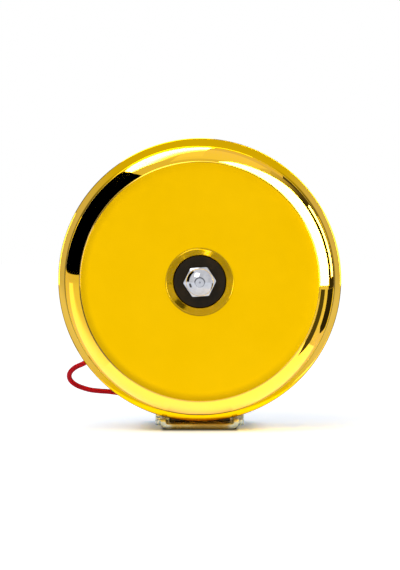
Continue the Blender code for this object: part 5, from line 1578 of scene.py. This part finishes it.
# Lacquer of the gilt: thicker low on the shoulder, none on the face and the painted dark edge, and some
# at the sides of the lip.
lacquer_low = between(tree, up_here, -face_radius, 0.0, 0.3, 0.13)
lacquer_end = between(tree, radius_here, wall_radius - 0.6, wall_radius - 0.2, 1.0, 0.0)
lacquer = combined(tree, "MULTIPLY", combined(tree, "MULTIPLY", lacquer_low, lacquer_end), polished)
lip_sheen = between(tree, sideways, 30.0, 43.0, 0.0, 0.3)
lacquer = combined(tree, "MULTIPLY_ADD", on_lip, lip_sheen, lacquer)
brushed = combined(tree, "MULTIPLY", noise(tree, place, scale=5000.0, detail=2.0), satin_side)
coat(tree, {
    "Metallic": 1.0, "Specular Tint": gilt_sheen, "Coat Roughness": 0.02, "Coat IOR": 2.2,
    "Base Color": blended(tree, painted_shade_and_dull_lip, gold, painted_shade_brown),
    "Roughness": roughness.outputs["Result"],
    "Coat Weight": combined(tree, "SUBTRACT", lacquer, painted_dark_rim, use_clamp=True),
    "Normal": relief_normal(tree, brushed, strength=0.02, distance=0.002)})
gong_outer = gong_line()
gong_profile = gong_outer + [(gong_radius, 0.0)] + list(reversed(inside_line(gong_outer, gong_sheet)))
gong_place = Vector((gong_middle.x, rim_y, gong_middle.z))
gong_mesh = turned(gong_profile, gong_place, FRONT, gilt, closed=True, segments=gong_segments)
seen_by_gong.objects.link(fit("gong_shell", gong_mesh, gilt, "gong"))

# Gong washers: a rubber one behind the gong and a blackened steel one in its recess, under the nut.
rear_low, rear_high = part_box("gong_rear_washer")
washer_low, washer_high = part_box("gong_washer")
washer_ease = 0.08
washer_segments = 96
washer_gloss = 0.12
black_steel = finish_of("blackened_steel", [
    (0.35, (0.012, 0.008, 0.003)), (0.55, (0.018, 0.012, 0.005)), (0.75, (0.028, 0.018, 0.008))],
    smooth=0.42, rough=0.58, mottle_scale=240.0, grain=0.2, metallic=0.0)
black_steel.node_tree.nodes["Principled BSDF"].inputs["Specular IOR Level"].default_value = washer_gloss


def washer(node, low, high, finish):
    """A flat ring with eased corners, bedded on what is behind it."""
    outer = (high.x - low.x) / 2 / MM
    thick = (high.y - low.y) / MM + seat
    profile = rounded([(stud_bore, 0.0, washer_ease), (outer, 0.0, washer_ease), (outer, thick, washer_ease),
                       (stud_bore, thick, washer_ease)])
    place = Vector((gong_middle.x, high.y + seat * MM, gong_middle.z))
    mesh = turned(profile, place, FRONT, finish, closed=True, segments=washer_segments)
    fit(node + "_ring", mesh, finish, node)


washer("gong_rear_washer", rear_low, rear_high, rubber)
washer("gong_washer", washer_low, washer_high, black_steel)

# Cap nut: a domed M6 nut turned from hexagon bar, bright zinc plated, tightened down on the washer.
nut_low, nut_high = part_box("cap_nut")
nut_flats = 10.0
nut_hexagon = 5.0 + seat
nut_dome = 4.75
nut_top = (nut_high.y - nut_low.y) / MM + seat
dome_slope = math.radians(52.0)
dome_radius = nut_dome / math.sin(dome_slope)
tip_flat = 1.7
tip_sink = 0.12
tip_mark = 0.35
tip_mark_depth = 0.3
tip_slope = math.asin(tip_flat / dome_radius)
dome_base = nut_top - dome_radius * (math.cos(tip_slope) - math.cos(dome_slope))
nut_turn = math.radians(4.0)
nut_columns = 144
nut_bore_depth = 8.0
nut_bore = stud_bore - 0.2
nut_ease = 0.3
ledge_shares = (0.0, 0.25, 0.5, 0.75, 0.98)
side_steps = 12
dome_steps = 20
nut_reach = hexagon_reach(nut_flats, nut_turn)


def nut_ledge(share):
    """One ring of the nut's shoulder, from the hexagon's edge in to the dome."""
    def radius_at(angle):
        return nut_reach(angle) + (nut_dome - nut_reach(angle)) * share

    def height_at(angle):
        return nut_hexagon - bevel_drop(radius_at(angle), nut_flats)
    return ring_of(radius_at, height_at, nut_columns)


nut_rows = [ring_of(plain(radius), plain(height), nut_columns) for radius, height in (
    (nut_bore, nut_bore_depth), (nut_bore, 0.5), (stud_bore + nut_ease, 0.0))]
nut_rows.append(ring_of(lambda angle: nut_reach(angle) - nut_ease, plain(0.0), nut_columns))
nut_rows.append(ring_of(nut_reach, plain(nut_ease), nut_columns))
nut_rows += [nut_ledge(share) for share in ledge_shares]
dome_rings = []
for step in range(side_steps + 1):
    dome_rings.append((nut_dome, nut_hexagon + (dome_base - nut_hexagon) * step / side_steps))
for step in range(1, dome_steps + 1):
    angle = dome_slope + (tip_slope - dome_slope) * step / dome_steps
    dome_height = nut_top - dome_radius * (math.cos(tip_slope) - math.cos(angle))
    dome_rings.append((dome_radius * math.sin(angle), dome_height))
dome_rings += [
    (tip_flat - tip_sink, nut_top - tip_sink), (tip_mark + tip_sink, nut_top - tip_sink),
    (tip_mark, nut_top - tip_sink), (tip_mark / 4, nut_top - tip_sink - tip_mark_depth)]
nut_rows += [ring_of(plain(radius), plain(height), nut_columns) for radius, height in dome_rings]
nut_zinc = finish_of("nut_zinc", [
    (0.35, (0.47, 0.475, 0.51)), (0.60, (0.56, 0.565, 0.60)), (0.80, (0.44, 0.44, 0.47))],
    smooth=0.05, rough=0.12, mottle_scale=420.0, grain=0.08, metallic=1.0)
# Painted dark reflection: a dark ring round the flat tip of the dome, stronger on its upper side.
painted_tip_reflection = (0.06, 0.065, 0.08, 1.0)
tree = nut_zinc.node_tree
up_here, radius_here = off_axis(tree, place_in(tree))[1:]
inward = between(tree, radius_here, tip_flat - 0.4, tip_flat - 0.1)
outward = between(tree, radius_here, tip_flat + 0.05, tip_flat + 0.3, 1.0, 0.0)
upper = between(tree, up_here, -tip_flat / 2, tip_flat / 3, 0.0, 0.85)
tint(nut_zinc, combined(tree, "MULTIPLY", combined(tree, "MULTIPLY", inward, outward), upper), painted_tip_reflection)
nut_mesh = lofted(nut_rows, True, True)
lay(nut_mesh, RIGHT, UP, FRONT, Vector((gong_middle.x, nut_high.y + seat * MM, gong_middle.z)))
fit("cap_nut_dome", nut_mesh, nut_zinc, "cap_nut")

# Brings the view layer up to date at the end.
bpy.context.view_layer.update()
